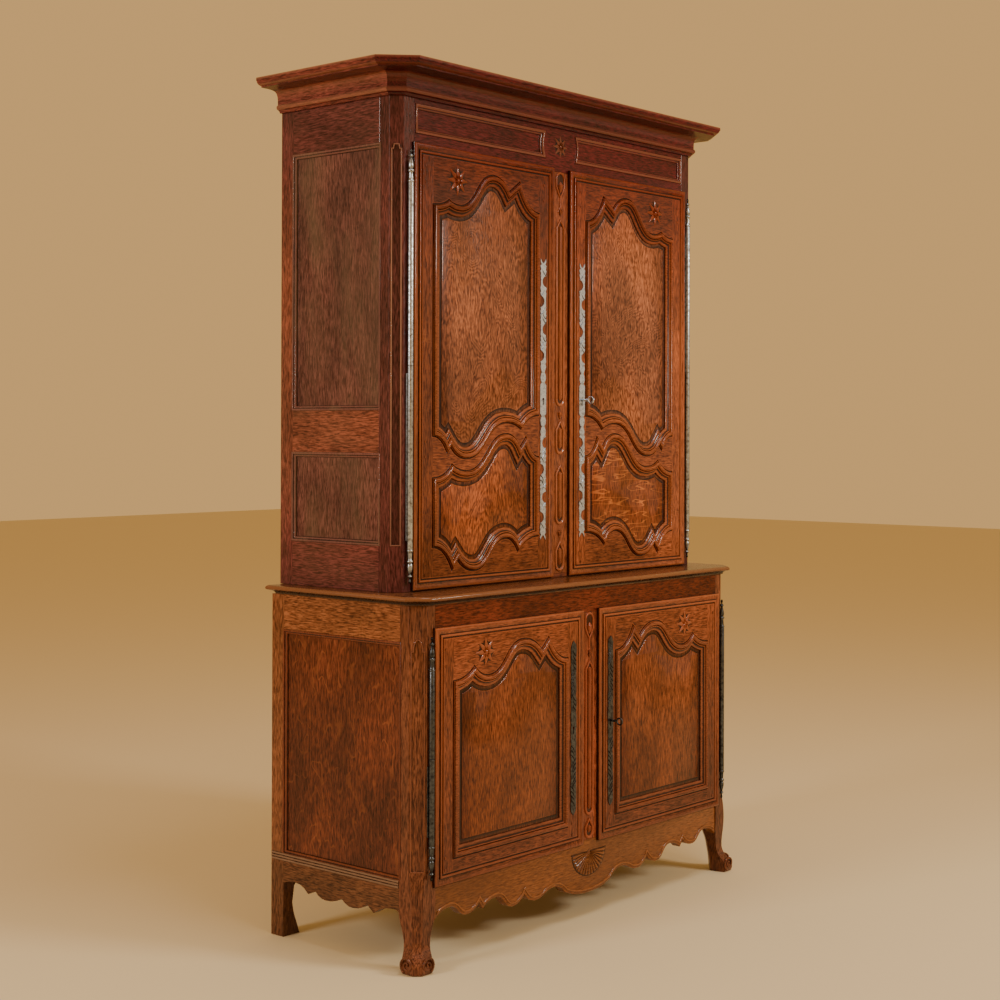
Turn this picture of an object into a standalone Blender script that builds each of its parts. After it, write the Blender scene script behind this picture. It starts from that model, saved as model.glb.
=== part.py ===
"""A two-stage provincial oak cupboard: carcass, four lipped doors on long barrel hinges, locks and keys.

Metres, +Z up. X runs across the front, +Y to the back, and the origin is on the floor under the
middle of the whole. Sizes from front to back are depths, measured forwards from the plane of the back.
"""

import math
from collections import namedtuple

import bmesh
import bpy
from mathutils import Matrix, Vector

# Clearances
GAP = 0.0003
DOOR_CLEARANCE = 0.002
LIP_CLEARANCE = 0.0005
KEY_CLEARANCE = 0.0008
MORTISE_CLEARANCE = 0.001
CUT_PAST = 0.010
MERGE_DISTANCE = 0.00001

# Timber sections shared by both stages
STOCK = 0.028
PANEL_THICKNESS = 0.010
PANEL_SINK = 0.009
GROOVE_DEPTH = 0.008
BACK_BOARD_THICKNESS = 0.015
BACK_BOARD_INSET = 0.004
SHELF_THICKNESS = 0.020
SHELF_SETBACK = 0.068
REAR_POST_DEPTH = 0.050
CENTRE_STILE_DEPTH = 0.048
CANT_PANEL_SINK = 0.003
CANT_PANEL_MARGIN = 0.008

# Lower stage. A rise is measured up from the sill of the doors, and a drop down from the top of the case.
LOWER_HALF_WIDTH = 0.724
LOWER_SIDE_DEPTH = 0.532
LOWER_CANT = 0.034
LOWER_POST_WIDTH = 0.065
LOWER_POST_DEPTH = 0.066
LOWER_CENTRE_HALF_WIDTH = 0.045
LOWER_SILL_Z = 0.2255
LOWER_FRONT_RAIL = 0.0687
LOWER_FLOOR_THICKNESS = 0.018
LOWER_SHELF_RISES = (0.2745,)
LOWER_SIDE_PANEL_RISE = 0.0095
LOWER_SIDE_PANEL_DROP = 0.1017
LOWER_POST_BLOCK_Z = 0.150
LOWER_CANT_PANEL_RISE = 0.0295
LOWER_CANT_PANEL_DROP = 0.1067

# Table between the stages
TABLE_UNDERSIDE_Z = 0.957
TABLE_THICKNESS = 0.025
TABLE_OVERHANG = 0.027
TABLE_EDGE_ROUND = 0.007

# Upper stage
UPPER_SET_IN = 0.030
UPPER_SET_BACK = 0.106
UPPER_CANT = 0.027
UPPER_POST_WIDTH = 0.068
UPPER_POST_DEPTH = 0.063
UPPER_CENTRE_HALF_WIDTH = 0.046
UPPER_CASE_HEIGHT = 1.3627
UPPER_FLOOR_THICKNESS = 0.012
UPPER_FRIEZE_RAIL = 0.162
UPPER_SHELF_RISES = (0.3657, 0.7757)
UPPER_BOTTOM_SIDE_RAIL = 0.1277
UPPER_SHORT_SIDE_PANEL = 0.240
UPPER_MIDDLE_SIDE_RAIL = 0.125
UPPER_TOP_SIDE_RAIL = 0.160
UPPER_CANT_PANEL_RISE = 0.1157
UPPER_CANT_PANEL_DROP = 0.165
TOP_BOARD_THICKNESS = 0.015

# Frieze panels, cut into the rail above the upper doors
FRIEZE_PANEL_MARGIN = 0.011
FRIEZE_PANEL_RISE = 0.042
FRIEZE_PANEL_HEIGHT = 0.065
FRIEZE_PANEL_INNER = 0.080
FRIEZE_SINK = 0.006
FRIEZE_MEDALLION_RADIUS = 0.098

# Cornice section: how far each arris stands out from the case, and its rise above the cornice's foot
CORNICE_HEIGHT = 0.088
CORNICE_DROP = 0.033
CORNICE_SEAT = 0.030
CORNICE_BED = 0.010
CORNICE_BEAD = 0.019
CORNICE_BEAD_RISE = 0.021
CORNICE_COVE_FOOT = 0.016
CORNICE_COVE_FOOT_RISE = 0.033
CORNICE_COVE_HEAD = 0.080
CORNICE_COVE_HEAD_RISE = 0.067
CORNICE_PROJECTION = 0.097
COVE_STEPS = 4

# Doors
DOOR_THICKNESS = 0.030
DOOR_PROUD = 0.011
DOOR_LIP = 0.009
LIP_EDGE_ROUND = 0.004
LIP_MOULDING_WIDTH = 0.016
LIP_BEAD = 0.001
MOULDING_WIDTH = 0.030
MOULDING_RISE = 0.006
MOULDING_SHOULDER = 0.012
MOULDING_LIP = 0.003
UPPER_HINGE_STILE = 0.074
UPPER_LOCK_STILE = 0.075
LOWER_HINGE_STILE = 0.070
LOWER_LOCK_STILE = 0.078

# Where the door panels' edges start on the hinge side
UPPER_TALL_TOP_BELOW_HEAD = 0.153
UPPER_TALL_BOTTOM_RISE = 0.4077
UPPER_SHORT_TOP_RISE = 0.2907
UPPER_SHORT_BOTTOM_RISE = 0.1057
LOWER_TOP_BELOW_HEAD = 0.138
LOWER_BOTTOM_RISE = 0.0575

# Serpentine edges of the door panels, as shares of the panel's width from that start: inwards, up,
# and True where the line runs level, False where it breaks in a point.
UPPER_TALL_TOP_SHARES = (
    (0.000, 0.000, True), (0.138, 0.038, False), (0.234, 0.013, True), (0.552, 0.232, True),
    (0.702, 0.145, False), (0.806, 0.218, False), (1.000, 0.038, True),
)
UPPER_TALL_BOTTOM_SHARES = (
    (0.000, 0.000, True), (0.127, -0.100, False), (0.156, -0.062, False), (0.301, -0.138, True),
    (0.679, 0.085, True), (0.824, 0.045, False), (1.000, 0.134, True),
)
UPPER_SHORT_TOP_SHARES = (
    (0.000, 0.000, True), (0.171, 0.082, False), (0.307, 0.040, True), (0.682, 0.269, True),
    (0.815, 0.183, False), (0.875, 0.247, False), (1.000, 0.120, True),
)
UPPER_SHORT_BOTTOM_SHARES = (
    (0.000, 0.000, True), (0.174, -0.145, False), (0.223, -0.085, False), (0.379, -0.160, True),
    (0.675, 0.027, True), (0.797, -0.062, False), (1.000, 0.027, True),
)
LOWER_TOP_SHARES = (
    (0.000, 0.000, True), (0.171, 0.066, False), (0.293, 0.004, True), (0.591, 0.180, True),
    (0.756, 0.103, False), (0.822, 0.169, False), (1.000, 0.031, True),
)
LOWER_BOTTOM_SHARES = ((0.000, 0.000, False), (1.000, 0.000, False))
CURVE_STEPS = 4
LEVEL_SHARE = 0.6
SHARP_TURN = math.radians(30)

# Lower edges of the aprons, as shares of their reach (half the front from its middle, or a side from
# its back) and of the height of the sill.
FRONT_APRON_SHARES = (
    (0.000, 0.319, True), (0.164, 0.412, False), (0.243, 0.519, True), (0.364, 0.430, True),
    (0.440, 0.554, False), (0.516, 0.443, True), (0.622, 0.621, True), (0.706, 0.532, False),
    (0.729, 0.621, False), (0.805, 0.523, True), (0.910, 0.674, True), (1.000, 0.568, False),
)
SIDE_APRON_SHARES = (
    (0.085, 0.656, False), (0.200, 0.710, True), (0.300, 0.608, False), (0.360, 0.665, False),
    (0.440, 0.585, True), (0.566, 0.656, False), (0.650, 0.581, True), (0.760, 0.665, False),
    (0.810, 0.585, False), (0.960, 0.692, True), (1.000, 0.656, False),
)
EDGE_STEPS = 3

# Inner edge of the rear legs, as shares of the post's width and of the height of the sill
REAR_LEG_SHARES = (
    (0.960, 0.000, False), (0.620, 0.270, False), (0.530, 0.400, False), (0.640, 0.600, False),
    (1.000, 0.740, False),
)

# Front legs: height, reach out from the cant, depth behind the cant and half width of each section
LEG_SECTIONS = (
    (0.250, -0.004, 0.040, 0.026), (0.205, 0.011, 0.040, 0.036), (0.165, 0.015, 0.042, 0.038),
    (0.120, 0.009, 0.044, 0.034), (0.082, 0.008, 0.042, 0.030), (0.056, 0.016, 0.036, 0.031),
    (0.036, 0.036, 0.032, 0.038), (0.014, 0.043, 0.030, 0.041), (0.000, 0.037, 0.028, 0.037),
)
# Half of a leg's section from the front round to the back, as shares of its half width and of its depth
LEG_OUTLINE_SHARES = ((0.45, 0.00), (0.85, 0.15), (1.00, 0.40), (1.00, 0.75), (0.60, 1.00))

# Barrel hinges
HINGE_OUT = 0.014
HINGE_BEHIND_FACE = 0.001
BARREL_RADIUS = 0.0078
PIN_RADIUS = 0.0040
PIN_LENGTH = 0.060
BORE_CLEARANCE = 0.0003
LEAF_THICKNESS = 0.0024
LEAF_BEHIND_FACE = 0.0075
LEAF_IN_POST = 0.016
LEAF_IN_DOOR = 0.022
LEAF_MARGIN = 0.020
FINIAL_LENGTH = 0.095
HINGE_END_MARGIN = 0.012
TURNED_STEPS = 12
FINIAL_TURNING_SHARES = (
    (0.00, 0.30), (0.07, 0.62), (0.16, 0.40), (0.30, 1.00), (0.44, 0.55), (0.52, 1.00),
    (0.62, 0.66), (0.86, 0.66), (0.92, 1.00),
)

# Escutcheons, keys and locks
PLATE_THICKNESS = 0.0018
PLATE_HALF_WIDTH = 0.016
PLATE_WAIST = 0.009
PLATE_LOBE = 0.058
PLATE_TIP_SHARE = 0.25
PLATE_STEPS = 4
UPPER_PLATE_LENGTH = 0.820
LOWER_PLATE_LENGTH = 0.500
UPPER_KEY_INSET = 0.055
UPPER_KEY_RISE = 0.5137
LOWER_KEY_INSET = 0.052
LOWER_KEY_RISE = 0.3365
KEY_SHAFT_RADIUS = 0.0035
KEYHOLE_STEPS = 8
KEY_REACH = 0.045
BOW_RADIUS = 0.0095
BOW_WIRE = 0.0026
BOW_STEPS = 16
BOW_WIRE_STEPS = 6
BIT_REACH = 0.010
BIT_THICKNESS = 0.0025
BIT_WIDTH = 0.008
LOCK_WIDTH = 0.070
LOCK_HEIGHT = 0.064
LOCK_RISE = 0.002
LOCK_THICKNESS = 0.018
LOCK_EDGE_MARGIN = 0.004
LOCK_WALL = 0.003
BOLT_LENGTH = 0.049
BOLT_HEIGHT = 0.010
BOLT_THICKNESS = 0.008
BOLT_SINK = 0.001
BOLT_RISE = 0.0125
BOLT_THROW = 0.014

# What follows from the sizes above
UPPER_HALF_WIDTH = LOWER_HALF_WIDTH - UPPER_SET_IN
UPPER_SIDE_DEPTH = LOWER_SIDE_DEPTH - UPPER_SET_BACK
LOWER_FRONT = LOWER_SIDE_DEPTH + LOWER_CANT
UPPER_FRONT = UPPER_SIDE_DEPTH + UPPER_CANT
LOWER_TOP_Z = TABLE_UNDERSIDE_Z - GAP
TABLE_TOP_Z = TABLE_UNDERSIDE_Z + TABLE_THICKNESS
UPPER_BASE_Z = TABLE_TOP_Z + GAP
UPPER_SILL_Z = UPPER_BASE_Z + UPPER_FLOOR_THICKNESS
UPPER_TOP_Z = UPPER_BASE_Z + UPPER_CASE_HEIGHT
CORNICE_FOOT_Z = UPPER_TOP_Z - CORNICE_DROP
OVERALL_DEPTH = LOWER_FRONT + DOOR_PROUD + GAP + PLATE_THICKNESS + KEY_REACH
LIP_AND_CLEARANCE = DOOR_LIP + DOOR_CLEARANCE

Stage = namedtuple(
    "Stage",
    "name half_width side_depth cant front post_depth opening centre base top sill head key_x key_z plate "
    "panel_outer panel_inner",
)
LOWER = Stage(
    name="lower", half_width=LOWER_HALF_WIDTH, side_depth=LOWER_SIDE_DEPTH, cant=LOWER_CANT,
    front=LOWER_FRONT,
    post_depth=LOWER_POST_DEPTH, opening=LOWER_HALF_WIDTH - LOWER_POST_WIDTH,
    centre=LOWER_CENTRE_HALF_WIDTH,
    base=0.0, top=LOWER_TOP_Z, sill=LOWER_SILL_Z, head=LOWER_TOP_Z - LOWER_FRONT_RAIL,
    key_x=LOWER_CENTRE_HALF_WIDTH - DOOR_LIP + LOWER_KEY_INSET, key_z=LOWER_SILL_Z + LOWER_KEY_RISE,
    plate=LOWER_PLATE_LENGTH,
    panel_outer=LOWER_HALF_WIDTH - LOWER_POST_WIDTH + DOOR_LIP - LOWER_HINGE_STILE,
    panel_inner=LOWER_CENTRE_HALF_WIDTH - DOOR_LIP + LOWER_LOCK_STILE,
)
UPPER = Stage(
    name="upper", half_width=UPPER_HALF_WIDTH, side_depth=UPPER_SIDE_DEPTH, cant=UPPER_CANT,
    front=UPPER_FRONT,
    post_depth=UPPER_POST_DEPTH, opening=UPPER_HALF_WIDTH - UPPER_POST_WIDTH,
    centre=UPPER_CENTRE_HALF_WIDTH,
    base=UPPER_BASE_Z, top=UPPER_TOP_Z, sill=UPPER_SILL_Z, head=UPPER_TOP_Z - UPPER_FRIEZE_RAIL,
    key_x=UPPER_CENTRE_HALF_WIDTH - DOOR_LIP + UPPER_KEY_INSET, key_z=UPPER_SILL_Z + UPPER_KEY_RISE,
    plate=UPPER_PLATE_LENGTH,
    panel_outer=UPPER_HALF_WIDTH - UPPER_POST_WIDTH + DOOR_LIP - UPPER_HINGE_STILE,
    panel_inner=UPPER_CENTRE_HALF_WIDTH - DOOR_LIP + UPPER_LOCK_STILE,
)
SIDES = {"left": -1, "right": 1}

# Frames for flat outlines: front elevations, side elevations and plans
FRONT_VIEW = Matrix(((1, 0, 0), (0, 0, -1), (0, 1, 0)))
SIDE_VIEW = Matrix(((0, 0, -1), (-1, 0, 0), (0, 1, 0)))
PLAN_VIEW = Matrix(((1, 0, 0), (0, -1, 0), (0, 0, -1)))


def y_at(depth):
    """World Y of a depth measured forwards from the back plane."""
    return OVERALL_DEPTH / 2 - depth


def clear_scene():
    for item in list(bpy.data.objects):
        bpy.data.objects.remove(item, do_unlink=True)


def collection(name):
    made = bpy.data.collections.new(name)
    bpy.context.scene.collection.children.link(made)
    return made


def material(name, colour, roughness, metallic=0.0):
    made = bpy.data.materials.new(name)
    made.use_nodes = True
    made.diffuse_color = (*colour, 1.0)
    shader = made.node_tree.nodes["Principled BSDF"]
    shader.inputs["Base Color"].default_value = (*colour, 1.0)
    shader.inputs["Roughness"].default_value = roughness
    shader.inputs["Metallic"].default_value = metallic
    return made


clear_scene()
PARTS = collection("housekeepers_cupboard")
CUTTERS = collection("cutters")
DARK_OAK = material("dark_oak", (0.110, 0.028, 0.010), 0.38)
OAK = material("oak", (0.190, 0.062, 0.018), 0.40)
PANEL_OAK = material("panel_oak", (0.230, 0.085, 0.025), 0.42)
RAW_OAK = material("raw_oak", (0.260, 0.160, 0.080), 0.70)
STEEL = material("polished_steel", (0.560, 0.540, 0.500), 0.28, 1.0)
IRON = material("dark_iron", (0.160, 0.150, 0.140), 0.42, 1.0)
METAL = {"upper": STEEL, "lower": IRON}


def put(name, mesh, finish, origin=(0.0, 0.0, 0.0)):
    """A part from a mesh given in world places, with its origin moved to a chosen point."""
    mesh.transform(Matrix.Translation(-Vector(origin)))
    mesh.materials.clear()
    mesh.materials.append(finish)
    made = bpy.data.objects.new(name, mesh)
    made.location = origin
    PARTS.objects.link(made)
    return made


def tool(name, mesh):
    """A helper body for a cut or a join, kept out of the finished object."""
    made = bpy.data.objects.new(name, mesh)
    made.hide_render = True
    made.display_type = "WIRE"
    CUTTERS.objects.link(made)
    return made


def combine(piece, helper, operation):
    step = piece.modifiers.new(helper.name, "BOOLEAN")
    step.operation = operation
    step.object = helper


def cut(piece, helper):
    combine(piece, helper, "DIFFERENCE")


def join(piece, helper):
    combine(piece, helper, "UNION")


def finish_mesh(name, bm):
    bmesh.ops.recalc_face_normals(bm, faces=bm.faces)
    mesh = bpy.data.meshes.new(name)
    bm.to_mesh(mesh)
    bm.free()
    return mesh


def box(x, depth, z):
    """A block from its (low, high) pairs across, in depth and in height."""
    bm = bmesh.new()
    bmesh.ops.create_cube(bm, size=1.0)
    size = Vector((abs(x[1] - x[0]), abs(depth[1] - depth[0]), abs(z[1] - z[0])))
    middle = Vector((sum(x) / 2, y_at(sum(depth) / 2), sum(z) / 2))
    bmesh.ops.scale(bm, vec=size, verts=bm.verts)
    bmesh.ops.translate(bm, vec=middle, verts=bm.verts)
    return finish_mesh("box", bm)


def bar(radius, centre, depth, steps=TURNED_STEPS):
    """A round bar lying along Y between two depths."""
    bm = bmesh.new()
    length = abs(depth[1] - depth[0])
    bmesh.ops.create_cone(bm, cap_ends=True, segments=steps, radius1=radius, radius2=radius, depth=length)
    turn = Matrix.Rotation(math.pi / 2, 3, "X")
    bmesh.ops.rotate(bm, matrix=turn, verts=bm.verts)
    bmesh.ops.translate(bm, vec=(centre[0], y_at(sum(depth) / 2), centre[1]), verts=bm.verts)
    return finish_mesh("bar", bm)


def slab(outlines, thickness, view, place):
    """A flat piece: an outline and any holes in it, given thickness about the plane of a view."""
    curve = bpy.data.curves.new("outline", "CURVE")
    curve.dimensions = "2D"
    curve.fill_mode = "BOTH"
    curve.extrude = thickness / 2
    for outline in outlines:
        spline = curve.splines.new("POLY")
        spline.points.add(len(outline) - 1)
        for point, (across, up) in zip(spline.points, outline):
            point.co = (across, up, 0.0, 1.0)
        spline.use_cyclic_u = True
    holder = bpy.data.objects.new("outline", curve)
    CUTTERS.objects.link(holder)
    graph = bpy.context.evaluated_depsgraph_get()
    mesh = bpy.data.meshes.new_from_object(holder.evaluated_get(graph))
    bpy.data.objects.remove(holder, do_unlink=True)
    bpy.data.curves.remove(curve)
    bm = bmesh.new()
    bm.from_mesh(mesh)
    bpy.data.meshes.remove(mesh)
    bmesh.ops.remove_doubles(bm, verts=bm.verts, dist=MERGE_DISTANCE)
    bmesh.ops.transform(bm, matrix=Matrix.Translation(place) @ view.to_4x4(), verts=bm.verts)
    return finish_mesh("slab", bm)


def front_slab(outlines, depth):
    """A slab seen from the front, as (x, z) outlines, between two depths."""
    place = (0.0, y_at(sum(depth) / 2), 0.0)
    return slab(outlines, abs(depth[1] - depth[0]), FRONT_VIEW, place)


def side_slab(outlines, x):
    """A slab seen from the side, as (depth, z) outlines, between two places across."""
    place = (sum(x) / 2, y_at(0.0), 0.0)
    return slab(outlines, abs(x[1] - x[0]), SIDE_VIEW, place)


def plan_slab(outlines, z):
    """A slab seen from above, as (x, depth) outlines, between two heights."""
    place = (0.0, y_at(0.0), sum(z) / 2)
    return slab(outlines, abs(z[1] - z[0]), PLAN_VIEW, place)


def loft(loops):
    """Faces between loops of equally many points, closed at both ends."""
    bm = bmesh.new()
    rows = [[bm.verts.new(point) for point in loop] for loop in loops]
    for low, high in zip(rows, rows[1:]):
        for i in range(len(low)):
            bm.faces.new((low[i - 1], low[i], high[i], high[i - 1]))
    bm.faces.new(rows[0])
    bm.faces.new(rows[-1])
    return finish_mesh("loft", bm)


def bend(start, end, level_start, steps):
    """Points after start on a curve that runs level at one of its ends."""
    share = LEVEL_SHARE if level_start else 1 - LEVEL_SHARE
    middle = (start[0] + share * (end[0] - start[0]), start[1] if level_start else end[1])
    points = []
    for i in range(1, steps + 1):
        t = i / steps
        weights = ((1 - t) ** 2, 2 * t * (1 - t), t * t)
        points.append(tuple(sum(w * p[k] for w, p in zip(weights, (start, middle, end))) for k in (0, 1)))
    return points


def ess(start, end, steps):
    """Points after start on an S-curve that runs level at both ends."""
    points = []
    for i in range(1, 2 * steps + 1):
        t = i / (2 * steps)
        across = 1.5 * t * (1 - t) * (1 - t) + 1.5 * t * t * (1 - t) + t ** 3
        up = 3 * t * t - 2 * t ** 3
        points.append((start[0] + across * (end[0] - start[0]), start[1] + up * (end[1] - start[1])))
    return points


def flowing(points, steps):
    """A line through (across, up, level) points: level points are joined smoothly, the rest are sharp."""
    line = [points[0][:2]]
    for start, end in zip(points, points[1:]):
        if start[2] and end[2]:
            line += ess(start, end, steps)
        elif start[2] or end[2]:
            line += bend(start, end, start[2], steps)
        else:
            line.append(end[:2])
    return line


def area(outline):
    total = 0.0
    for a, b in zip(outline, outline[1:] + outline[:1]):
        total += a[0] * b[1] - a[1] * b[0]
    return total / 2


def smooth_runs(points):
    """A closed outline split at its sharp corners, each run with both of its corners."""
    count = len(points)
    corners = []
    for i in range(count):
        turn = (points[(i + 1) % count] - points[i]) / (points[i] - points[i - 1])
        if abs(math.atan2(turn.imag, turn.real)) > SHARP_TURN:
            corners.append(i)
    runs = []
    for first, last in zip(corners, corners[1:] + [corners[0] + count]):
        runs.append([points[k % count] for k in range(first, last + 1)])
    return runs


def moved_run(run, step):
    """A run moved to one side, with its ends drawn out straight so that it can meet its neighbours."""
    ways = [(b - a) / abs(b - a) for a, b in zip(run, run[1:])]
    moved = [run[0] + step * 1j * ways[0]]
    for before, after, point in zip(ways, ways[1:], run[1:]):
        across = 1j * (before + after)
        moved.append(point + step * across / (1.0 + (before * after.conjugate()).real))
    moved.append(run[-1] + step * 1j * ways[-1])
    reach = 4 * abs(step)
    return [moved[0] - reach * ways[0], *moved, moved[-1] + reach * ways[-1]]


def crossing(first, second, corner):
    """Where two runs meet nearest to a corner, as places along each of them."""
    best = None
    for i, (a, b) in enumerate(zip(first, first[1:])):
        for j, (c, d) in enumerate(zip(second, second[1:])):
            spread = ((b - a).conjugate() * (d - c)).imag
            if abs(spread) < 1e-12:
                continue
            t = ((c - a).conjugate() * (d - c)).imag / spread
            u = ((c - a).conjugate() * (b - a)).imag / spread
            if 0 <= t <= 1 and 0 <= u <= 1:
                away = abs(a + t * (b - a) - corner)
                if best is None or away < best[0]:
                    best = (away, i + t, j + u)
    return best[1:]


def along(line, place):
    """The point at a place counted in segments along a line."""
    i = min(int(place), len(line) - 2)
    return line[i] + (place - i) * (line[i + 1] - line[i])


def respaced(line, pattern):
    """As many points on a line as a pattern has, spaced in the same proportions."""
    def lengths(points):
        sums = [0.0]
        for a, b in zip(points, points[1:]):
            sums.append(sums[-1] + abs(b - a))
        return sums

    have = lengths(line)
    placed = []
    for wanted in (part / lengths(pattern)[-1] * have[-1] for part in lengths(pattern)):
        i = max(k for k in range(len(line) - 1) if have[k] <= wanted)
        share = (wanted - have[i]) / (have[i + 1] - have[i])
        placed.append(line[i] + share * (line[i + 1] - line[i]))
    return placed


def inset(outline, distance):
    """The outline moved inwards all round, mitred at its sharp corners, with as many points as before."""
    runs = smooth_runs([complex(*point) for point in outline])
    if distance:
        step = distance if area(outline) > 0 else -distance
        lines = [moved_run(run, step) for run in runs]
        meets = [crossing(lines[i - 1], lines[i], runs[i][0]) for i in range(len(runs))]
        trimmed = []
        for i, (line, run) in enumerate(zip(lines, runs)):
            start = meets[i][1]
            end = meets[(i + 1) % len(runs)][0]
            inner = [line[k] for k in range(len(line)) if start < k < end]
            trimmed.append(respaced([along(line, start), *inner, along(line, end)], run))
        runs = trimmed
    return [(point.real, point.imag) for run in runs for point in run[:-1]]


def lifted(outline, distance, depth):
    """An outline seen from the front, inset and set at a depth, as world points."""
    return [(x, y_at(depth), z) for x, z in inset(outline, distance)]


def rectangle(x, z):
    return [(x[0], z[0]), (x[1], z[0]), (x[1], z[1]), (x[0], z[1])]


def mirrored(outline, side):
    return [(side * x, z) for x, z in outline]


def case_plan(stage, out):
    """The case seen from above, from back left round the front to back right, grown by out."""
    corner = out * math.tan(math.pi / 8)
    wide = stage.half_width + out
    half = [
        (wide, 0.0),
        (wide, stage.side_depth + corner),
        (stage.half_width - stage.cant + corner, stage.front + out),
    ]
    return [(-x, depth) for x, depth in half] + half[::-1]


def notched_plan(inner, outer, back, front, rear_notch, front_notch):
    """A board that reaches out between the posts and is notched round them."""
    half = [(inner, back), (inner, rear_notch), (outer, rear_notch)]
    if front <= front_notch:
        half.append((outer, front))
    else:
        half += [(outer, front_notch), (inner, front_notch), (inner, front)]
    return half + [(-x, depth) for x, depth in reversed(half)]


def build_front_post(stage, side_name):
    side = SIDES[side_name]
    back = stage.front - stage.post_depth
    plan = [
        (side * stage.opening, back),
        (side * stage.half_width, back),
        (side * stage.half_width, stage.side_depth),
        (side * (stage.half_width - stage.cant), stage.front),
        (side * stage.opening, stage.front),
    ]
    bottom = LOWER_POST_BLOCK_Z if stage is LOWER else stage.base
    mesh = plan_slab([plan], (bottom, stage.top))
    name = f"{stage.name}_{side_name}_front_post"
    post = put(name, mesh, DARK_OAK if stage is UPPER else OAK)
    if stage is LOWER:
        join(post, tool(f"{name}_leg", leg(stage, side)))
    margins = {
        "lower": (LOWER_CANT_PANEL_RISE, LOWER_CANT_PANEL_DROP),
        "upper": (UPPER_CANT_PANEL_RISE, UPPER_CANT_PANEL_DROP),
    }
    rise, drop = margins[stage.name]
    heights = (stage.sill + rise, stage.top - drop)
    cut(post, tool(f"{name}_cant_panel", cant_panel(stage, side, heights)))
    return post


def cant_frame(stage, side):
    """Middle of the canted corner in plan, with the directions out of it and along it."""
    half = stage.cant / 2
    middle = Vector((side * (stage.half_width - half), y_at(stage.side_depth + half), 0.0))
    out = Vector((side, -1.0, 0.0)).normalized()
    along = Vector((side, 1.0, 0.0)).normalized()
    return middle, out, along


def cant_panel(stage, side, heights):
    """Cutter for the sunk panel on a canted corner."""
    middle, out, along = cant_frame(stage, side)
    half = stage.cant / math.sqrt(2) - CANT_PANEL_MARGIN
    corners = ((-half, -CANT_PANEL_SINK), (half, -CANT_PANEL_SINK), (half, CUT_PAST), (-half, CUT_PAST))
    loops = []
    for z in heights:
        loops.append([middle + a * along + o * out + Vector((0, 0, z)) for a, o in corners])
    return loft(loops)


def leg(stage, side):
    """A cabriole leg with a scrolled toe, turned outwards at the canted corner."""
    middle, out, along = cant_frame(stage, side)
    loops = []
    for z, reach, behind, half in LEG_SECTIONS:
        right = [(half * wide, reach - (reach + behind) * back) for wide, back in LEG_OUTLINE_SHARES]
        outline = right + [(-a, o) for a, o in right[::-1]]
        loops.append([middle + a * along + o * out + Vector((0, 0, z)) for a, o in outline])
    return loft(loops)


def rails_outline(stage, openings, lower_edge):
    """A rear post's rails in side elevation: a comb with a gap for each panel."""
    inner = REAR_POST_DEPTH - GROOVE_DEPTH
    front = stage.front - stage.post_depth - GAP
    outline = [(inner, stage.top), (front, stage.top)]
    for low, high in openings:
        outline += [(front, high), (REAR_POST_DEPTH, high), (REAR_POST_DEPTH, low), (front, low)]
    return outline + lower_edge(inner, front)


def lower_side_edge(_, front):
    points = [(front * depth, LOWER.sill * z, level) for depth, z, level in SIDE_APRON_SHARES]
    return flowing(points, EDGE_STEPS)[::-1]


def upper_side_edge(inner, front):
    return [(front, UPPER.base), (inner, UPPER.base)]


def rear_post(stage, side):
    """A rear post; the lower one ends in a leg that is shaped on its inner edge."""
    wide = stage.half_width - stage.opening
    if stage is UPPER:
        legs = [(stage.opening, stage.base)]
    else:
        legs = [(stage.half_width - wide * across, stage.sill * z) for across, z, _ in REAR_LEG_SHARES]
    outer = stage.half_width
    outline = [(outer, stage.base), *legs, (stage.opening, stage.top), (outer, stage.top)]
    return front_slab([mirrored(outline, side)], (0.0, REAR_POST_DEPTH))


def build_side(stage, side_name, panels, lower_edge):
    """Rear post with its rails, and the panels that slide in their grooves between it and the front post."""
    side = SIDES[side_name]
    outer = side * stage.half_width
    inner = side * (stage.half_width - STOCK)
    finish = DARK_OAK if stage is UPPER else OAK
    name = f"{stage.name}_{side_name}_side_frame"
    frame = put(name, rear_post(stage, side), finish)
    openings = [heights for _, heights in panels]
    rails = side_slab([rails_outline(stage, openings, lower_edge)], (inner, outer))
    join(frame, tool(f"{name}_rails", rails))
    front = stage.front - stage.post_depth
    face = side * (stage.half_width - PANEL_SINK)
    rear = side * (stage.half_width - PANEL_SINK - PANEL_THICKNESS)
    front_post = bpy.data.objects[f"{stage.name}_{side_name}_front_post"]
    for panel_name, (low, high) in panels:
        reach = GROOVE_DEPTH - GAP
        depth = (REAR_POST_DEPTH - reach, front + reach)
        mesh = box((face, rear), depth, (low - reach, high + reach))
        put(f"{stage.name}_{side_name}_{panel_name}", mesh, PANEL_OAK if stage is LOWER else DARK_OAK)
        groove = box(
            (face + side * GAP, rear - side * GAP),
            (REAR_POST_DEPTH - GROOVE_DEPTH, front + GROOVE_DEPTH),
            (low - GROOVE_DEPTH, high + GROOVE_DEPTH),
        )
        helper = tool(f"{stage.name}_{side_name}_{panel_name}_groove", groove)
        cut(frame, helper)
        cut(front_post, helper)


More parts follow.
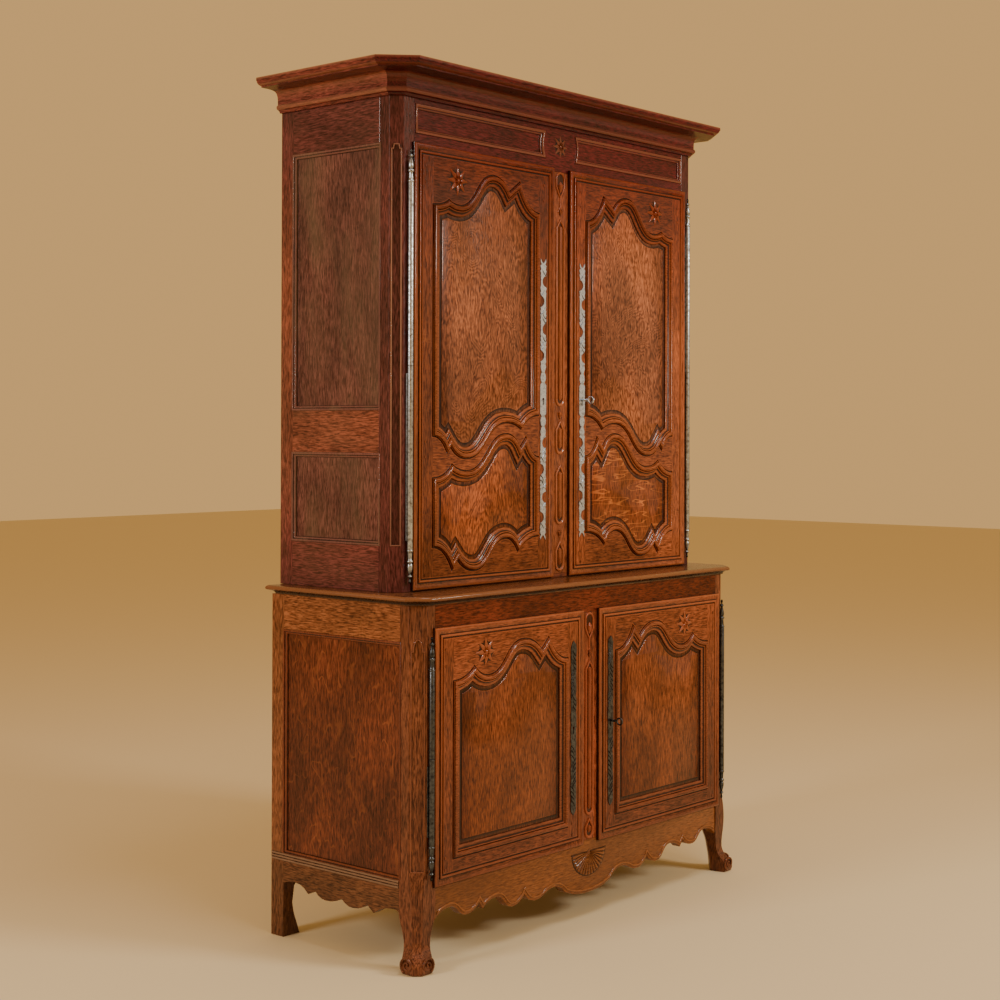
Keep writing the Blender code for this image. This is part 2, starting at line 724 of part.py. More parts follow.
def build_lower_carcass():
    for side_name in SIDES:
        build_front_post(LOWER, side_name)
        panel = ("side_panel", (LOWER.sill + LOWER_SIDE_PANEL_RISE, LOWER.top - LOWER_SIDE_PANEL_DROP))
        build_side(LOWER, side_name, [panel], lower_side_edge)
    reach = LOWER.opening - GAP
    rail_depth = (LOWER.front - STOCK, LOWER.front)
    put("lower_front_rail", box((-reach, reach), rail_depth, (LOWER.head, LOWER.top)), OAK)
    put("lower_front_apron", front_slab([front_apron_outline(reach)], rail_depth), PANEL_OAK)
    build_centre_stile(LOWER, OAK)
    build_back_board(LOWER, LOWER.sill + GAP)
    boards_back = BACK_BOARD_INSET + BACK_BOARD_THICKNESS + GAP
    outer = LOWER.half_width - STOCK - GAP
    post_back = LOWER.front - LOWER.post_depth
    plan = notched_plan(
        reach, outer, boards_back, LOWER.front - STOCK - GAP, REAR_POST_DEPTH + GAP, post_back - GAP
    )
    put("lower_floor_board", plan_slab([plan], (LOWER.sill - LOWER_FLOOR_THICKNESS, LOWER.sill)), RAW_OAK)
    for rise in LOWER_SHELF_RISES:
        build_shelf(LOWER, "lower_shelf", LOWER.sill + rise)


def front_apron_outline(reach):
    edge = [(reach * x, LOWER.sill * z, level) for x, z, level in FRONT_APRON_SHARES]
    half = flowing(edge, EDGE_STEPS)
    top = LOWER.sill
    return [(-x, z) for x, z in half[:0:-1]] + half + [(reach, top), (-reach, top)]


def build_centre_stile(stage, finish):
    depth = (stage.front - CENTRE_STILE_DEPTH, stage.front)
    bounds = (stage.sill + GAP, stage.head - GAP)
    stile = put(f"{stage.name}_centre_stile", box((-stage.centre, stage.centre), depth, bounds), finish)
    low = stage.key_z + BOLT_RISE - MORTISE_CLEARANCE
    high = low + BOLT_HEIGHT + 2 * MORTISE_CLEARANCE
    middle = lock_middle_depth(stage)
    half = BOLT_THICKNESS / 2 + MORTISE_CLEARANCE
    across = (stage.centre - BOLT_THROW, stage.centre + CUT_PAST)
    mortise = box(across, (middle - half, middle + half), (low, high))
    cut(stile, tool(f"{stage.name}_bolt_mortise", mortise))


def build_back_board(stage, bottom):
    reach = stage.opening - GAP
    depth = (BACK_BOARD_INSET, BACK_BOARD_INSET + BACK_BOARD_THICKNESS)
    put(f"{stage.name}_back_board", box((-reach, reach), depth, (bottom, stage.top)), RAW_OAK)


def build_shelf(stage, name, top):
    back = BACK_BOARD_INSET + BACK_BOARD_THICKNESS + GAP
    front = stage.front - SHELF_SETBACK
    post_back = stage.front - stage.post_depth - GAP
    outer = stage.half_width - STOCK - GAP
    plan = notched_plan(stage.opening - GAP, outer, back, front, REAR_POST_DEPTH + GAP, post_back)
    put(name, plan_slab([plan], (top - SHELF_THICKNESS, top)), RAW_OAK)


def build_table():
    """The table board: its edge is rounded above and below."""
    outline = case_plan(LOWER, TABLE_OVERHANG)
    low = TABLE_UNDERSIDE_Z
    high = low + TABLE_THICKNESS
    levels = (
        (TABLE_EDGE_ROUND, low), (0.0, low + TABLE_EDGE_ROUND), (0.0, high - TABLE_EDGE_ROUND),
        (TABLE_EDGE_ROUND, high),
    )
    loops = [[(x, y_at(depth), z) for x, depth in inset(outline, step)] for step, z in levels]
    put("table_top", loft(loops), OAK)


def build_upper_carcass():
    short_low = UPPER.base + UPPER_BOTTOM_SIDE_RAIL
    short_high = short_low + UPPER_SHORT_SIDE_PANEL
    panels = [
        ("tall_side_panel", (short_high + UPPER_MIDDLE_SIDE_RAIL, UPPER.top - UPPER_TOP_SIDE_RAIL)),
        ("short_side_panel", (short_low, short_high)),
    ]
    for side_name in SIDES:
        build_front_post(UPPER, side_name)
        build_side(UPPER, side_name, panels, upper_side_edge)
    build_frieze()
    build_centre_stile(UPPER, DARK_OAK)
    build_back_board(UPPER, UPPER.sill + GAP)
    post_back = UPPER.front - UPPER.post_depth
    boards_back = BACK_BOARD_INSET + GAP
    plan = notched_plan(
        UPPER.opening - GAP, UPPER.half_width - STOCK - GAP, boards_back, UPPER.front,
        REAR_POST_DEPTH + GAP, post_back - GAP,
    )
    put("upper_floor_board", plan_slab([plan], (UPPER.base, UPPER.sill)), RAW_OAK)
    for number, rise in enumerate(UPPER_SHELF_RISES, start=1):
        build_shelf(UPPER, f"upper_shelf_{number}", UPPER.sill + rise)
    top_plan = case_plan(UPPER, -CORNICE_SEAT - GAP)
    low = UPPER.top + GAP
    put("upper_top_board", plan_slab([top_plan], (low, low + TOP_BOARD_THICKNESS)), RAW_OAK)


def build_frieze():
    """The rail above the upper doors, with two sunk panels hollowed at the middle round a medallion."""
    reach = UPPER.opening - GAP
    depth = (UPPER.front - STOCK, UPPER.front)
    frieze = put("frieze_rail", box((-reach, reach), depth, (UPPER.head, UPPER.top)), DARK_OAK)
    outer = UPPER.opening - FRIEZE_PANEL_MARGIN
    half_height = FRIEZE_PANEL_HEIGHT / 2
    middle = UPPER.head + FRIEZE_PANEL_RISE + half_height
    spread = math.asin(half_height / FRIEZE_MEDALLION_RADIUS)
    centre = FRIEZE_PANEL_INNER - FRIEZE_MEDALLION_RADIUS * math.cos(spread)
    for side_name, side in SIDES.items():
        outline = [(outer, middle - half_height), (outer, middle + half_height)]
        for i in range(CURVE_STEPS + 1):
            angle = spread * (1 - 2 * i / CURVE_STEPS)
            across = centre + FRIEZE_MEDALLION_RADIUS * math.cos(angle)
            outline.append((across, middle + FRIEZE_MEDALLION_RADIUS * math.sin(angle)))
        sunk = front_slab([mirrored(outline, side)], (UPPER.front - FRIEZE_SINK, UPPER.front + CUT_PAST))
        cut(frieze, tool(f"frieze_{side_name}_panel", sunk))


def cornice_profile():
    """Points (out, z) round the cornice's section, from its foot against the case."""
    foot = CORNICE_FOOT_Z
    top = foot + CORNICE_HEIGHT
    profile = [
        (GAP, foot),
        (CORNICE_BED, foot),
        (CORNICE_BEAD, foot + CORNICE_BEAD_RISE / 2),
        (CORNICE_BEAD, foot + CORNICE_BEAD_RISE),
    ]
    for i in range(COVE_STEPS + 1):
        angle = math.pi / 2 * i / COVE_STEPS
        out = CORNICE_COVE_HEAD - (CORNICE_COVE_HEAD - CORNICE_COVE_FOOT) * math.cos(angle)
        up = CORNICE_COVE_FOOT_RISE + (CORNICE_COVE_HEAD_RISE - CORNICE_COVE_FOOT_RISE) * math.sin(angle)
        profile.append((out, foot + up))
    fascia = CORNICE_HEIGHT - CORNICE_COVE_HEAD_RISE
    profile += [
        (CORNICE_PROJECTION - fascia / 4, top - 3 * fascia / 4),
        (CORNICE_PROJECTION, top - fascia / 2),
        (CORNICE_PROJECTION, top - fascia / 6),
        (CORNICE_PROJECTION - fascia / 6, top),
        (-CORNICE_SEAT, top),
        (-CORNICE_SEAT, UPPER.top + GAP),
        (GAP, UPPER.top + GAP),
    ]
    return profile


def build_cornice():
    """The cornice in three lengths: the front with its canted corners, and a mitred return at each side."""
    plans = [(case_plan(UPPER, out), z) for out, z in cornice_profile()]
    stations = [[(plan[i][0], plan[i][1], z) for plan, z in plans] for i in range(6)]
    lengths = {"cornice_left": stations[0:2], "cornice_front": stations[1:5], "cornice_right": stations[4:6]}
    for name, rings in lengths.items():
        back = GAP if name != "cornice_front" else 0.0
        loops = []
        for ring in rings:
            shift = back if ring is stations[1] or ring is stations[4] else 0.0
            loops.append([(x, y_at(depth - shift), z) for x, depth, z in ring])
        put(name, loft(loops), DARK_OAK)


def door_outline(stage, side):
    """The edge of a door's lip, seen from the front."""
    x = (side * (stage.centre - DOOR_LIP), side * (stage.opening + DOOR_LIP))
    z = (stage.sill - DOOR_LIP, stage.head + DOOR_LIP)
    return rectangle(x, z)


def panel_outline(stage, side, top, bottom):
    """A panel opening between its hinge-side and lock-side edges, from its (height, shares) edges."""
    width = stage.panel_outer - stage.panel_inner

    def edge(height, shares):
        line = flowing([(width * x, width * z, level) for x, z, level in shares], CURVE_STEPS)
        return [(stage.panel_outer - x, height + z) for x, z in line]

    return mirrored(edge(*top) + edge(*bottom)[::-1], side)


def upper_panels(side):
    tall = panel_outline(
        UPPER, side,
        (UPPER.head - UPPER_TALL_TOP_BELOW_HEAD, UPPER_TALL_TOP_SHARES),
        (UPPER.sill + UPPER_TALL_BOTTOM_RISE, UPPER_TALL_BOTTOM_SHARES),
    )
    short = panel_outline(
        UPPER, side,
        (UPPER.sill + UPPER_SHORT_TOP_RISE, UPPER_SHORT_TOP_SHARES),
        (UPPER.sill + UPPER_SHORT_BOTTOM_RISE, UPPER_SHORT_BOTTOM_SHARES),
    )
    return {"tall_panel": tall, "short_panel": short}


def lower_panels(side):
    top = (LOWER.head - LOWER_TOP_BELOW_HEAD, LOWER_TOP_SHARES)
    bottom = (LOWER.sill + LOWER_BOTTOM_RISE, LOWER_BOTTOM_SHARES)
    return {"panel": panel_outline(LOWER, side, top, bottom)}


def lip_profile(face):
    """Steps (inset, depth) over a door's moulded lip, from its front face round to its back."""
    lip_back = face - DOOR_PROUD + LIP_CLEARANCE
    return (
        (LIP_MOULDING_WIDTH, face), (LIP_MOULDING_WIDTH, face + LIP_BEAD),
        (LIP_MOULDING_WIDTH / 2, face + LIP_BEAD), (LIP_EDGE_ROUND, face), (0.0, face - LIP_EDGE_ROUND),
        (0.0, lip_back), (LIP_AND_CLEARANCE, lip_back), (LIP_AND_CLEARANCE, face - DOOR_THICKNESS),
    )


def moulding_profile(face):
    """Steps (inset, depth) over a panel's moulding and round its groove, from front to back."""
    front = face - PANEL_SINK
    rear = front - PANEL_THICKNESS
    groove = MOULDING_WIDTH - GROOVE_DEPTH
    return (
        (0.0, face), (MOULDING_SHOULDER / 4, face + MOULDING_RISE),
        (MOULDING_SHOULDER, face + MOULDING_RISE), (3 * MOULDING_SHOULDER / 2, face),
        (MOULDING_WIDTH, front + MOULDING_LIP), (MOULDING_WIDTH, front + GAP), (groove, front + GAP),
        (groove, rear - GAP), (MOULDING_WIDTH, rear - GAP), (MOULDING_WIDTH, face - DOOR_THICKNESS),
    )


def keyhole_outline(stage, side):
    """The keyhole seen from the front, clear of the key's shaft all round."""
    radius = (KEY_SHAFT_RADIUS + KEY_CLEARANCE) / math.cos(math.pi / KEYHOLE_STEPS)
    turns = [2 * math.pi * i / KEYHOLE_STEPS for i in range(KEYHOLE_STEPS)]
    centre = side * stage.key_x
    return [(centre + radius * math.cos(turn), stage.key_z + radius * math.sin(turn)) for turn in turns]


def door_frame(outline, openings, keyhole, face):
    """A door frame in one piece: flat faces front and back, joined over the lip and through each opening."""
    bm = bmesh.new()
    flat_edges = {"front": [], "back": []}
    edges = [(outline, lip_profile(face)), (keyhole, ((0.0, face), (0.0, face - DOOR_THICKNESS)))]
    edges += [(opening, moulding_profile(face)) for opening in openings]
    for line, profile in edges:
        rows = [[bm.verts.new(point) for point in lifted(line, step, depth)] for step, depth in profile]
        for low, high in zip(rows, rows[1:]):
            for i in range(len(low)):
                bm.faces.new((low[i - 1], low[i], high[i], high[i - 1]))
        for label, row in (("front", rows[0]), ("back", rows[-1])):
            flat_edges[label] += [bm.edges.get((row[i - 1], row[i])) for i in range(len(row))]
    for edges in flat_edges.values():
        bmesh.ops.triangle_fill(bm, use_beauty=True, edges=edges)
    return finish_mesh("door_frame", bm)


def build_door(stage, side_name, panels):
    """A door: lipped frame with moulded openings, its panels, escutcheon, and its half of the hinge."""
    side = SIDES[side_name]
    face = stage.front + DOOR_PROUD
    axis = hinge_axis(stage, side)
    prefix = f"{stage.name}_{side_name}_door"
    keyhole = keyhole_outline(stage, side)
    mesh = door_frame(door_outline(stage, side), list(panels.values()), keyhole, face)
    frame = put(f"{prefix}_frame", mesh, OAK, axis)
    front = face - PANEL_SINK
    edge = MOULDING_WIDTH - GROOVE_DEPTH + GAP
    for name, opening in panels.items():
        panel = front_slab([inset(opening, edge)], (front - PANEL_THICKNESS, front))
        put(f"{prefix}_{name}", panel, PANEL_OAK, axis)
    build_escutcheon(stage, side_name, keyhole, face)
    return frame


def build_escutcheon(stage, side_name, keyhole, face):
    """A long scalloped plate on the lock stile, pierced with a keyhole."""
    side = SIDES[side_name]
    count = round(stage.plate / 2 / PLATE_LOBE)
    lobe = stage.plate / 2 / count
    half = []
    for i in range(count * PLATE_STEPS + 1):
        up = i * lobe / PLATE_STEPS
        swell = abs(math.cos(math.pi * up / lobe))
        taper = min(1.0, (stage.plate / 2 - up) / lobe + PLATE_TIP_SHARE)
        half.append(((PLATE_WAIST + (PLATE_HALF_WIDTH - PLATE_WAIST) * swell) * taper, up))
    right = [(x, -up) for x, up in half[:0:-1]] + half
    outline = right + [(-x, up) for x, up in right[::-1]]
    centre = (side * stage.key_x, stage.key_z)
    placed = [(centre[0] + x, centre[1] + up) for x, up in outline]
    seat = face + GAP
    mesh = front_slab([placed, keyhole], (seat, seat + PLATE_THICKNESS))
    put(f"{stage.name}_{side_name}_escutcheon", mesh, METAL[stage.name], hinge_axis(stage, side))


def hinge_axis(stage, side):
    """Foot of a door's hinge axis."""
    x = side * (stage.opening + DOOR_LIP + HINGE_OUT)
    return (x, y_at(stage.front + DOOR_PROUD - HINGE_BEHIND_FACE), stage.sill)


def finial(tip, towards):
    """Turned points (radius, z) from a finial's tip to its barrel."""
    return [(BARREL_RADIUS * r, tip + towards * FINIAL_LENGTH * s) for s, r in FINIAL_TURNING_SHARES]


def turned(name, profile, finish, axis):
    """A turned piece from (radius, z) points, listed from the top down, about an upright axis."""
    bm = bmesh.new()
    points = [bm.verts.new((radius, 0.0, z - axis[2])) for radius, z in profile]
    for start, end in zip(points, points[1:]):
        bm.edges.new((start, end))
    mesh = bpy.data.meshes.new(name)
    bm.to_mesh(mesh)
    bm.free()
    mesh.materials.append(finish)
    made = bpy.data.objects.new(name, mesh)
    made.location = axis
    PARTS.objects.link(made)
    spin = made.modifiers.new("turning", "SCREW")
    spin.axis = "Z"
    spin.steps = TURNED_STEPS
    spin.render_steps = TURNED_STEPS
    spin.use_merge_vertices = True
    spin.merge_threshold = MERGE_DISTANCE
    spin.use_smooth_shade = True
    return made


def build_hinge(stage, side_name):
    """A long barrel hinge: a lower half with a pin on the post, an upper half with a bore on the door."""
    side = SIDES[side_name]
    axis = hinge_axis(stage, side)
    low = stage.sill + HINGE_END_MARGIN
    high = stage.head - HINGE_END_MARGIN
    middle = (low + high) / 2
    finish = METAL[stage.name]
    foot = [(0.0, low), *finial(low, 1)][::-1]
    pin = [(0.0, middle + PIN_LENGTH), (PIN_RADIUS, middle + PIN_LENGTH), (PIN_RADIUS, middle)]
    name = f"{stage.name}_{side_name}_hinge"
    post_half = turned(f"{name}_post_half", pin + [(BARREL_RADIUS, middle)] + foot, finish, axis)
    bore = PIN_RADIUS + BORE_CLEARANCE
    seat = middle + GAP
    deep = middle + PIN_LENGTH + GAP
    head = [(0.0, high), *finial(high, -1)]
    socket = [(BARREL_RADIUS, seat), (bore, seat), (bore, deep), (0.0, deep)]
    door_half = turned(f"{name}_door_half", head + socket, finish, axis)
    face = stage.front + DOOR_PROUD
    axis_depth = face - HINGE_BEHIND_FACE
    half = LEAF_THICKNESS / 2
    post_leaf_z = (low + FINIAL_LENGTH + LEAF_MARGIN, middle - LEAF_MARGIN)
    post_leaf_x = (axis[0] - half, axis[0] + half)
    add_leaf(
        name, "post", post_half, bpy.data.objects[f"{stage.name}_{side_name}_front_post"],
        post_leaf_x, (stage.front - LEAF_IN_POST, axis_depth), post_leaf_z,
    )
    leaf_depth = face - LEAF_BEHIND_FACE
    door_leaf_z = (middle + PIN_LENGTH + LEAF_MARGIN, high - FINIAL_LENGTH - LEAF_MARGIN)
    door_leaf_x = (axis[0], side * (stage.opening + DOOR_LIP - LEAF_IN_DOOR))
    add_leaf(
        name, "door", door_half, bpy.data.objects[f"{stage.name}_{side_name}_door_frame"],
        door_leaf_x, (leaf_depth - half, leaf_depth + half), door_leaf_z,
    )


def add_leaf(name, label, barrel, seat, x, depth, z):
    """A hinge leaf fixed to its barrel, with the slot that it fills in the timber."""
    leaf = tool(f"{name}_{label}_leaf", box(x, depth, z))
    move_to_local(leaf, barrel)
    join(barrel, leaf)
    low_x, high_x = sorted(x)
    low_depth, high_depth = sorted(depth)
    slot = box((low_x - GAP, high_x + GAP), (low_depth - GAP, high_depth + GAP), (z[0] - GAP, z[1] + GAP))
    cut(seat, tool(f"{name}_{label}_slot", slot))


def move_to_local(helper, piece):
    """Keeps a helper with the piece that it joins."""
    helper.parent = piece
    helper.matrix_parent_inverse = Matrix.Translation(-Vector(piece.location))


def lock_middle_depth(stage):
    rear = stage.front + DOOR_PROUD - DOOR_THICKNESS
    return rear - GAP - LOCK_THICKNESS / 2


def build_lock(stage):
    """The lock inside a right-hand door: its case, the bolt that slides in it, and the key."""
    rear = stage.front + DOOR_PROUD - DOOR_THICKNESS
    middle = lock_middle_depth(stage)
    free_edge = stage.centre - DOOR_LIP + LIP_AND_CLEARANCE
    edge = free_edge + LOCK_EDGE_MARGIN
    bottom = stage.key_z - LOCK_HEIGHT / 2 + LOCK_RISE
    case_depth = (rear - GAP - LOCK_THICKNESS, rear - GAP)
    axis = hinge_axis(stage, 1)
    key_axis = (stage.key_x, y_at(stage.front + DOOR_PROUD), stage.key_z)
    case_mesh = box((edge, edge + LOCK_WIDTH), case_depth, (bottom, bottom + LOCK_HEIGHT))
    case = put(f"{stage.name}_lock_case", case_mesh, IRON, axis)
    pocket = bar(BIT_REACH + MORTISE_CLEARANCE, key_axis[::2], (case_depth[0] + LOCK_WALL, rear + CUT_PAST))
    cut(case, tool(f"{stage.name}_lock_pocket", pocket))
    low = stage.key_z + BOLT_RISE
    bolt_x = (edge + BOLT_SINK, edge + BOLT_SINK + BOLT_LENGTH)
    bolt_depth = (middle - BOLT_THICKNESS / 2, middle + BOLT_THICKNESS / 2)
    put(
        f"{stage.name}_lock_bolt", box(bolt_x, bolt_depth, (low, low + BOLT_HEIGHT)), STEEL,
        (bolt_x[0], y_at(middle), low),
    )
    channel = box(
        (edge - CUT_PAST, bolt_x[1] + GAP), (bolt_depth[0] - GAP, bolt_depth[1] + GAP),
        (low - GAP, low + BOLT_HEIGHT + GAP),
    )
    cut(case, tool(f"{stage.name}_lock_channel", channel))
    build_key(stage, key_axis, case_depth[0] + LOCK_WALL + GAP)


def build_key(stage, axis, end_depth):
    """A key with a ring bow, its bit hanging down inside the lock."""
    tip = stage.front + DOOR_PROUD + GAP + PLATE_THICKNESS + KEY_REACH
    bow_depth = tip - BOW_RADIUS - BOW_WIRE
    centre = (axis[0], axis[2])
    key = put(
        f"{stage.name}_key", bar(KEY_SHAFT_RADIUS, centre, (end_depth, bow_depth - BOW_RADIUS)),
        METAL[stage.name], axis,
    )
    bpy.ops.mesh.primitive_torus_add(
        major_segments=BOW_STEPS, minor_segments=BOW_WIRE_STEPS,
        major_radius=BOW_RADIUS, minor_radius=BOW_WIRE,
    )
    ring = bpy.context.object
    turn = Matrix.Translation((axis[0], y_at(bow_depth), axis[2])) @ Matrix.Rotation(math.pi / 2, 4, "Y")
    bow_mesh = ring.data.copy()
    bpy.data.objects.remove(ring, do_unlink=True)
    bow_mesh.transform(turn)
    join(key, tool(f"{stage.name}_key_bow", bow_mesh))
    bit = box(
        (axis[0] - BIT_THICKNESS / 2, axis[0] + BIT_THICKNESS / 2),
        (end_depth + GAP, end_depth + GAP + BIT_WIDTH), (axis[2] - BIT_REACH, axis[2]),
    )
    join(key, tool(f"{stage.name}_key_bit", bit))


def build():
    build_lower_carcass()
    build_table()
    build_upper_carcass()
    build_cornice()
    for side_name, side in SIDES.items():
        build_door(LOWER, side_name, lower_panels(side))
        build_door(UPPER, side_name, upper_panels(side))
        build_hinge(LOWER, side_name)
        build_hinge(UPPER, side_name)
    build_lock(LOWER)
    build_lock(UPPER)


build()
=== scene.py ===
"""Looks of a two-stage provincial oak cupboard: mouldings, carving, ironwork and finishes on its frame."""

import logging
import math
from collections.abc import Iterable, Sequence
from dataclasses import dataclass
from enum import Enum
from functools import partial

import bmesh
import bpy
from mathutils import Matrix, Vector


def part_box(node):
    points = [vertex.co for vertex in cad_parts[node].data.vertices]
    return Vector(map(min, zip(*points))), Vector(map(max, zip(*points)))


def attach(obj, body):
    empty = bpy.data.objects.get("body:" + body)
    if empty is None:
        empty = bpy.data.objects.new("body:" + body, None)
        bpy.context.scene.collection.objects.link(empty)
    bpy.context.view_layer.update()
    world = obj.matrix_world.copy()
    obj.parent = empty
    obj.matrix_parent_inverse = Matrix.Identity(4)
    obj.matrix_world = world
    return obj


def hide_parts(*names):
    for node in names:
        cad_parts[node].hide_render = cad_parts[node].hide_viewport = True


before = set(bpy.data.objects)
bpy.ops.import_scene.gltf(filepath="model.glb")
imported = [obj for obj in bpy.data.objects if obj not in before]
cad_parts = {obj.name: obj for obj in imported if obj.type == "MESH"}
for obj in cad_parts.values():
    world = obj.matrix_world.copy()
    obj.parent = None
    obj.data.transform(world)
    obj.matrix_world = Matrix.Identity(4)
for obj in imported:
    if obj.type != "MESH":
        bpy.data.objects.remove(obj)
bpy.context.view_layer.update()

LOG = logging.getLogger("cupboard")

Point = tuple[float, float]
Triple = tuple[float, float, float]
Colour = tuple[float, float, float, float]
FlowPoint = tuple[float, float, bool]
Piece = bpy.types.Object
Material = bpy.types.Material
Tree = bpy.types.NodeTree
Socket = bpy.types.NodeSocket
Row = list[bmesh.types.BMVert]
Inputs = dict[int | str, object] | Sequence[object]

# Sizes shared with the part, in metres
BACK_Y = 0.31205
GAP = 0.0003
DOOR_PROUD = 0.011
DOOR_THICKNESS = 0.030
DOOR_LIP = 0.009
PANEL_SINK = 0.009
PANEL_THICKNESS = 0.010
GROOVE = 0.0223
REAR_POST_DEPTH = 0.050
STOCK = 0.028
TABLE_OVERHANG = 0.027
CANT_MARGIN = 0.008
BARREL_RADIUS = 0.0078
KEYHOLE_RADIUS = 0.0043
# The posts' beads, the rounding of the frame's own edges, and the moulded margin round a door panel's field
BEAD_WIDTH = 0.0036
EASED_EDGE = 0.0012
EDGE_MARGIN = 0.040
# How curves are drawn, how far round a point a crest is looked for, and how high one stands
SHARP_TURN = math.radians(30)
LEVEL_SHARE = 0.6
CURVE_STEPS = 12
CREST_REACH = (0.004, 0.006)
CREST_LIFT = 0.0012
# Points closer than this become one
MERGE = 1e-6
QUARTER = math.pi / 2
# Boards are numbered by steps of this share, and the number times this shift moves a board's figure
BOARD_STEP = 0.381966
BOARD_SHIFT = (3.7, 2.3, 5.9)


class Side(Enum):
    """Left or right of the cupboard, as its sign along X."""

    LEFT = -1
    RIGHT = 1

    @property
    def label(self) -> str:
        """The side's name as the nodes spell it."""
        return self.name.lower()


@dataclass(frozen=True)
class Stage:
    """Sizes of one stage of the cupboard; depths run forward from the back."""

    name: str
    half_width: float
    side_depth: float
    cant: float
    front: float
    post_depth: float
    opening: float
    centre: float
    sill: float
    head: float
    top: float
    key_x: float
    key_z: float
    plate: float
    panel_outer: float
    panel_inner: float

    @property
    def face(self) -> float:
        """The depth of the doors' faces."""
        return self.front + DOOR_PROUD


LOWER = Stage(
    name="lower", half_width=0.724, side_depth=0.532, cant=0.034, front=0.566, post_depth=0.066,
    opening=0.659, centre=0.045, sill=0.2255, head=0.888, top=0.9567,
    key_x=0.088, key_z=0.562, plate=0.500, panel_outer=0.598, panel_inner=0.114,
)
UPPER = Stage(
    name="upper", half_width=0.694, side_depth=0.426, cant=0.027, front=0.453, post_depth=0.063,
    opening=0.626, centre=0.046, sill=0.9943, head=2.183, top=2.345,
    key_x=0.092, key_z=1.508, plate=0.820, panel_outer=0.561, panel_inner=0.112,
)


def y_at(depth: float) -> float:
    """Gives the Y of a depth, which runs forward from the back."""
    return BACK_Y - depth


# Lines and outlines


def bend(start: Sequence[float], end: Sequence[float], level_start: bool) -> list[Point]:
    """Draws a curve that runs level at one of its ends.

    Args:
        start: first point.
        end: last point.
        level_start: True if it is the start that runs level.

    Returns:
        The points after start.
    """
    share = LEVEL_SHARE if level_start else 1 - LEVEL_SHARE
    middle = (start[0] + share * (end[0] - start[0]), start[1] if level_start else end[1])
    points = []
    for i in range(1, CURVE_STEPS + 1):
        t = i / CURVE_STEPS
        weights = ((1 - t) ** 2, 2 * t * (1 - t), t * t)
        x, z = (sum(w * p[k] for w, p in zip(weights, (start, middle, end))) for k in (0, 1))
        points.append((x, z))
    return points


def ess(start: Sequence[float], end: Sequence[float]) -> list[Point]:
    """Draws an S-curve that runs level at both ends.

    Args:
        start: first point.
        end: last point.

    Returns:
        The points after start.
    """
    points = []
    for i in range(1, 2 * CURVE_STEPS + 1):
        t = i / (2 * CURVE_STEPS)
        across = 1.5 * t * (1 - t) * (1 - t) + 1.5 * t * t * (1 - t) + t**3
        up = 3 * t * t - 2 * t**3
        points.append((start[0] + across * (end[0] - start[0]), start[1] + up * (end[1] - start[1])))
    return points


def flowing(points: Sequence[FlowPoint]) -> list[Point]:
    """Draws a line that is smooth through level points and sharp at the others.

    Args:
        points: (across, up, level) points.

    Returns:
        The line's points.
    """
    line = [points[0][:2]]
    for start, end in zip(points, points[1:]):
        if start[2] and end[2]:
            line += ess(start, end)
        elif start[2] or end[2]:
            line += bend(start, end, start[2])
        else:
            line.append(end[:2])
    return line


def smooth_runs(points: Sequence[complex]) -> list[list[complex]]:
    """Splits a closed outline at its sharp corners.

    Args:
        points: the outline.

    Returns:
        The runs, each with both of its corners.
    """
    count = len(points)
    corners = []
    for i in range(count):
        turn = (points[(i + 1) % count] - points[i]) / (points[i] - points[i - 1])
        if abs(math.atan2(turn.imag, turn.real)) > SHARP_TURN:
            corners.append(i)
    ends = corners[1:] + [corners[0] + count]
    return [[points[k % count] for k in range(a, b + 1)] for a, b in zip(corners, ends)]


def moved_run(run: Sequence[complex], step: float) -> list[complex]:
    """Moves a run to one side and draws its ends out straight, so that it can meet its neighbours.

    Args:
        run: the run.
        step: how far to its left.

    Returns:
        The moved run.
    """
    ways = [(b - a) / abs(b - a) for a, b in zip(run, run[1:])]
    moved = [run[0] + step * 1j * ways[0]]
    for before, after, point in zip(ways, ways[1:], run[1:]):
        moved.append(point + step * 1j * (before + after) / (1.0 + (before * after.conjugate()).real))
    moved.append(run[-1] + step * 1j * ways[-1])
    reach = 4 * abs(step)
    return [moved[0] - reach * ways[0], *moved, moved[-1] + reach * ways[-1]]


def crossing(first: Sequence[complex], second: Sequence[complex], corner: complex) -> tuple[float, float]:
    """Finds where two runs meet nearest to a corner.

    Args:
        first: the run that ends there.
        second: the run that starts there.
        corner: the corner.

    Returns:
        The places along each, counted in segments.
    """
    best = (math.inf, 0.0, 0.0)
    for i, (a, b) in enumerate(zip(first, first[1:])):
        for j, (c, d) in enumerate(zip(second, second[1:])):
            spread = ((b - a).conjugate() * (d - c)).imag
            if abs(spread) < 1e-12:
                continue
            t = ((c - a).conjugate() * (d - c)).imag / spread
            u = ((c - a).conjugate() * (b - a)).imag / spread
            if 0 <= t <= 1 and 0 <= u <= 1:
                best = min(best, (abs(a + t * (b - a) - corner), i + t, j + u))
    return best[1:]


def lengths(points: Sequence[complex]) -> list[float]:
    """Args:
        points: a line.

    Returns:
        The length of the line up to each point.
    """
    sums = [0.0]
    for a, b in zip(points, points[1:]):
        sums.append(sums[-1] + abs(b - a))
    return sums


def respaced(line: Sequence[complex], pattern: Sequence[complex]) -> list[complex]:
    """Puts as many points on a line as a pattern has, spaced in the same proportions.

    Args:
        line: the line.
        pattern: the line whose spacing is kept.

    Returns:
        The new points.
    """
    have = lengths(line)
    marks = lengths(pattern)
    spread = []
    for mark in marks:
        wanted = mark / marks[-1] * have[-1]
        i = max(k for k in range(len(line) - 1) if have[k] <= wanted)
        spread.append(line[i] + (wanted - have[i]) / (have[i + 1] - have[i]) * (line[i + 1] - line[i]))
    return spread


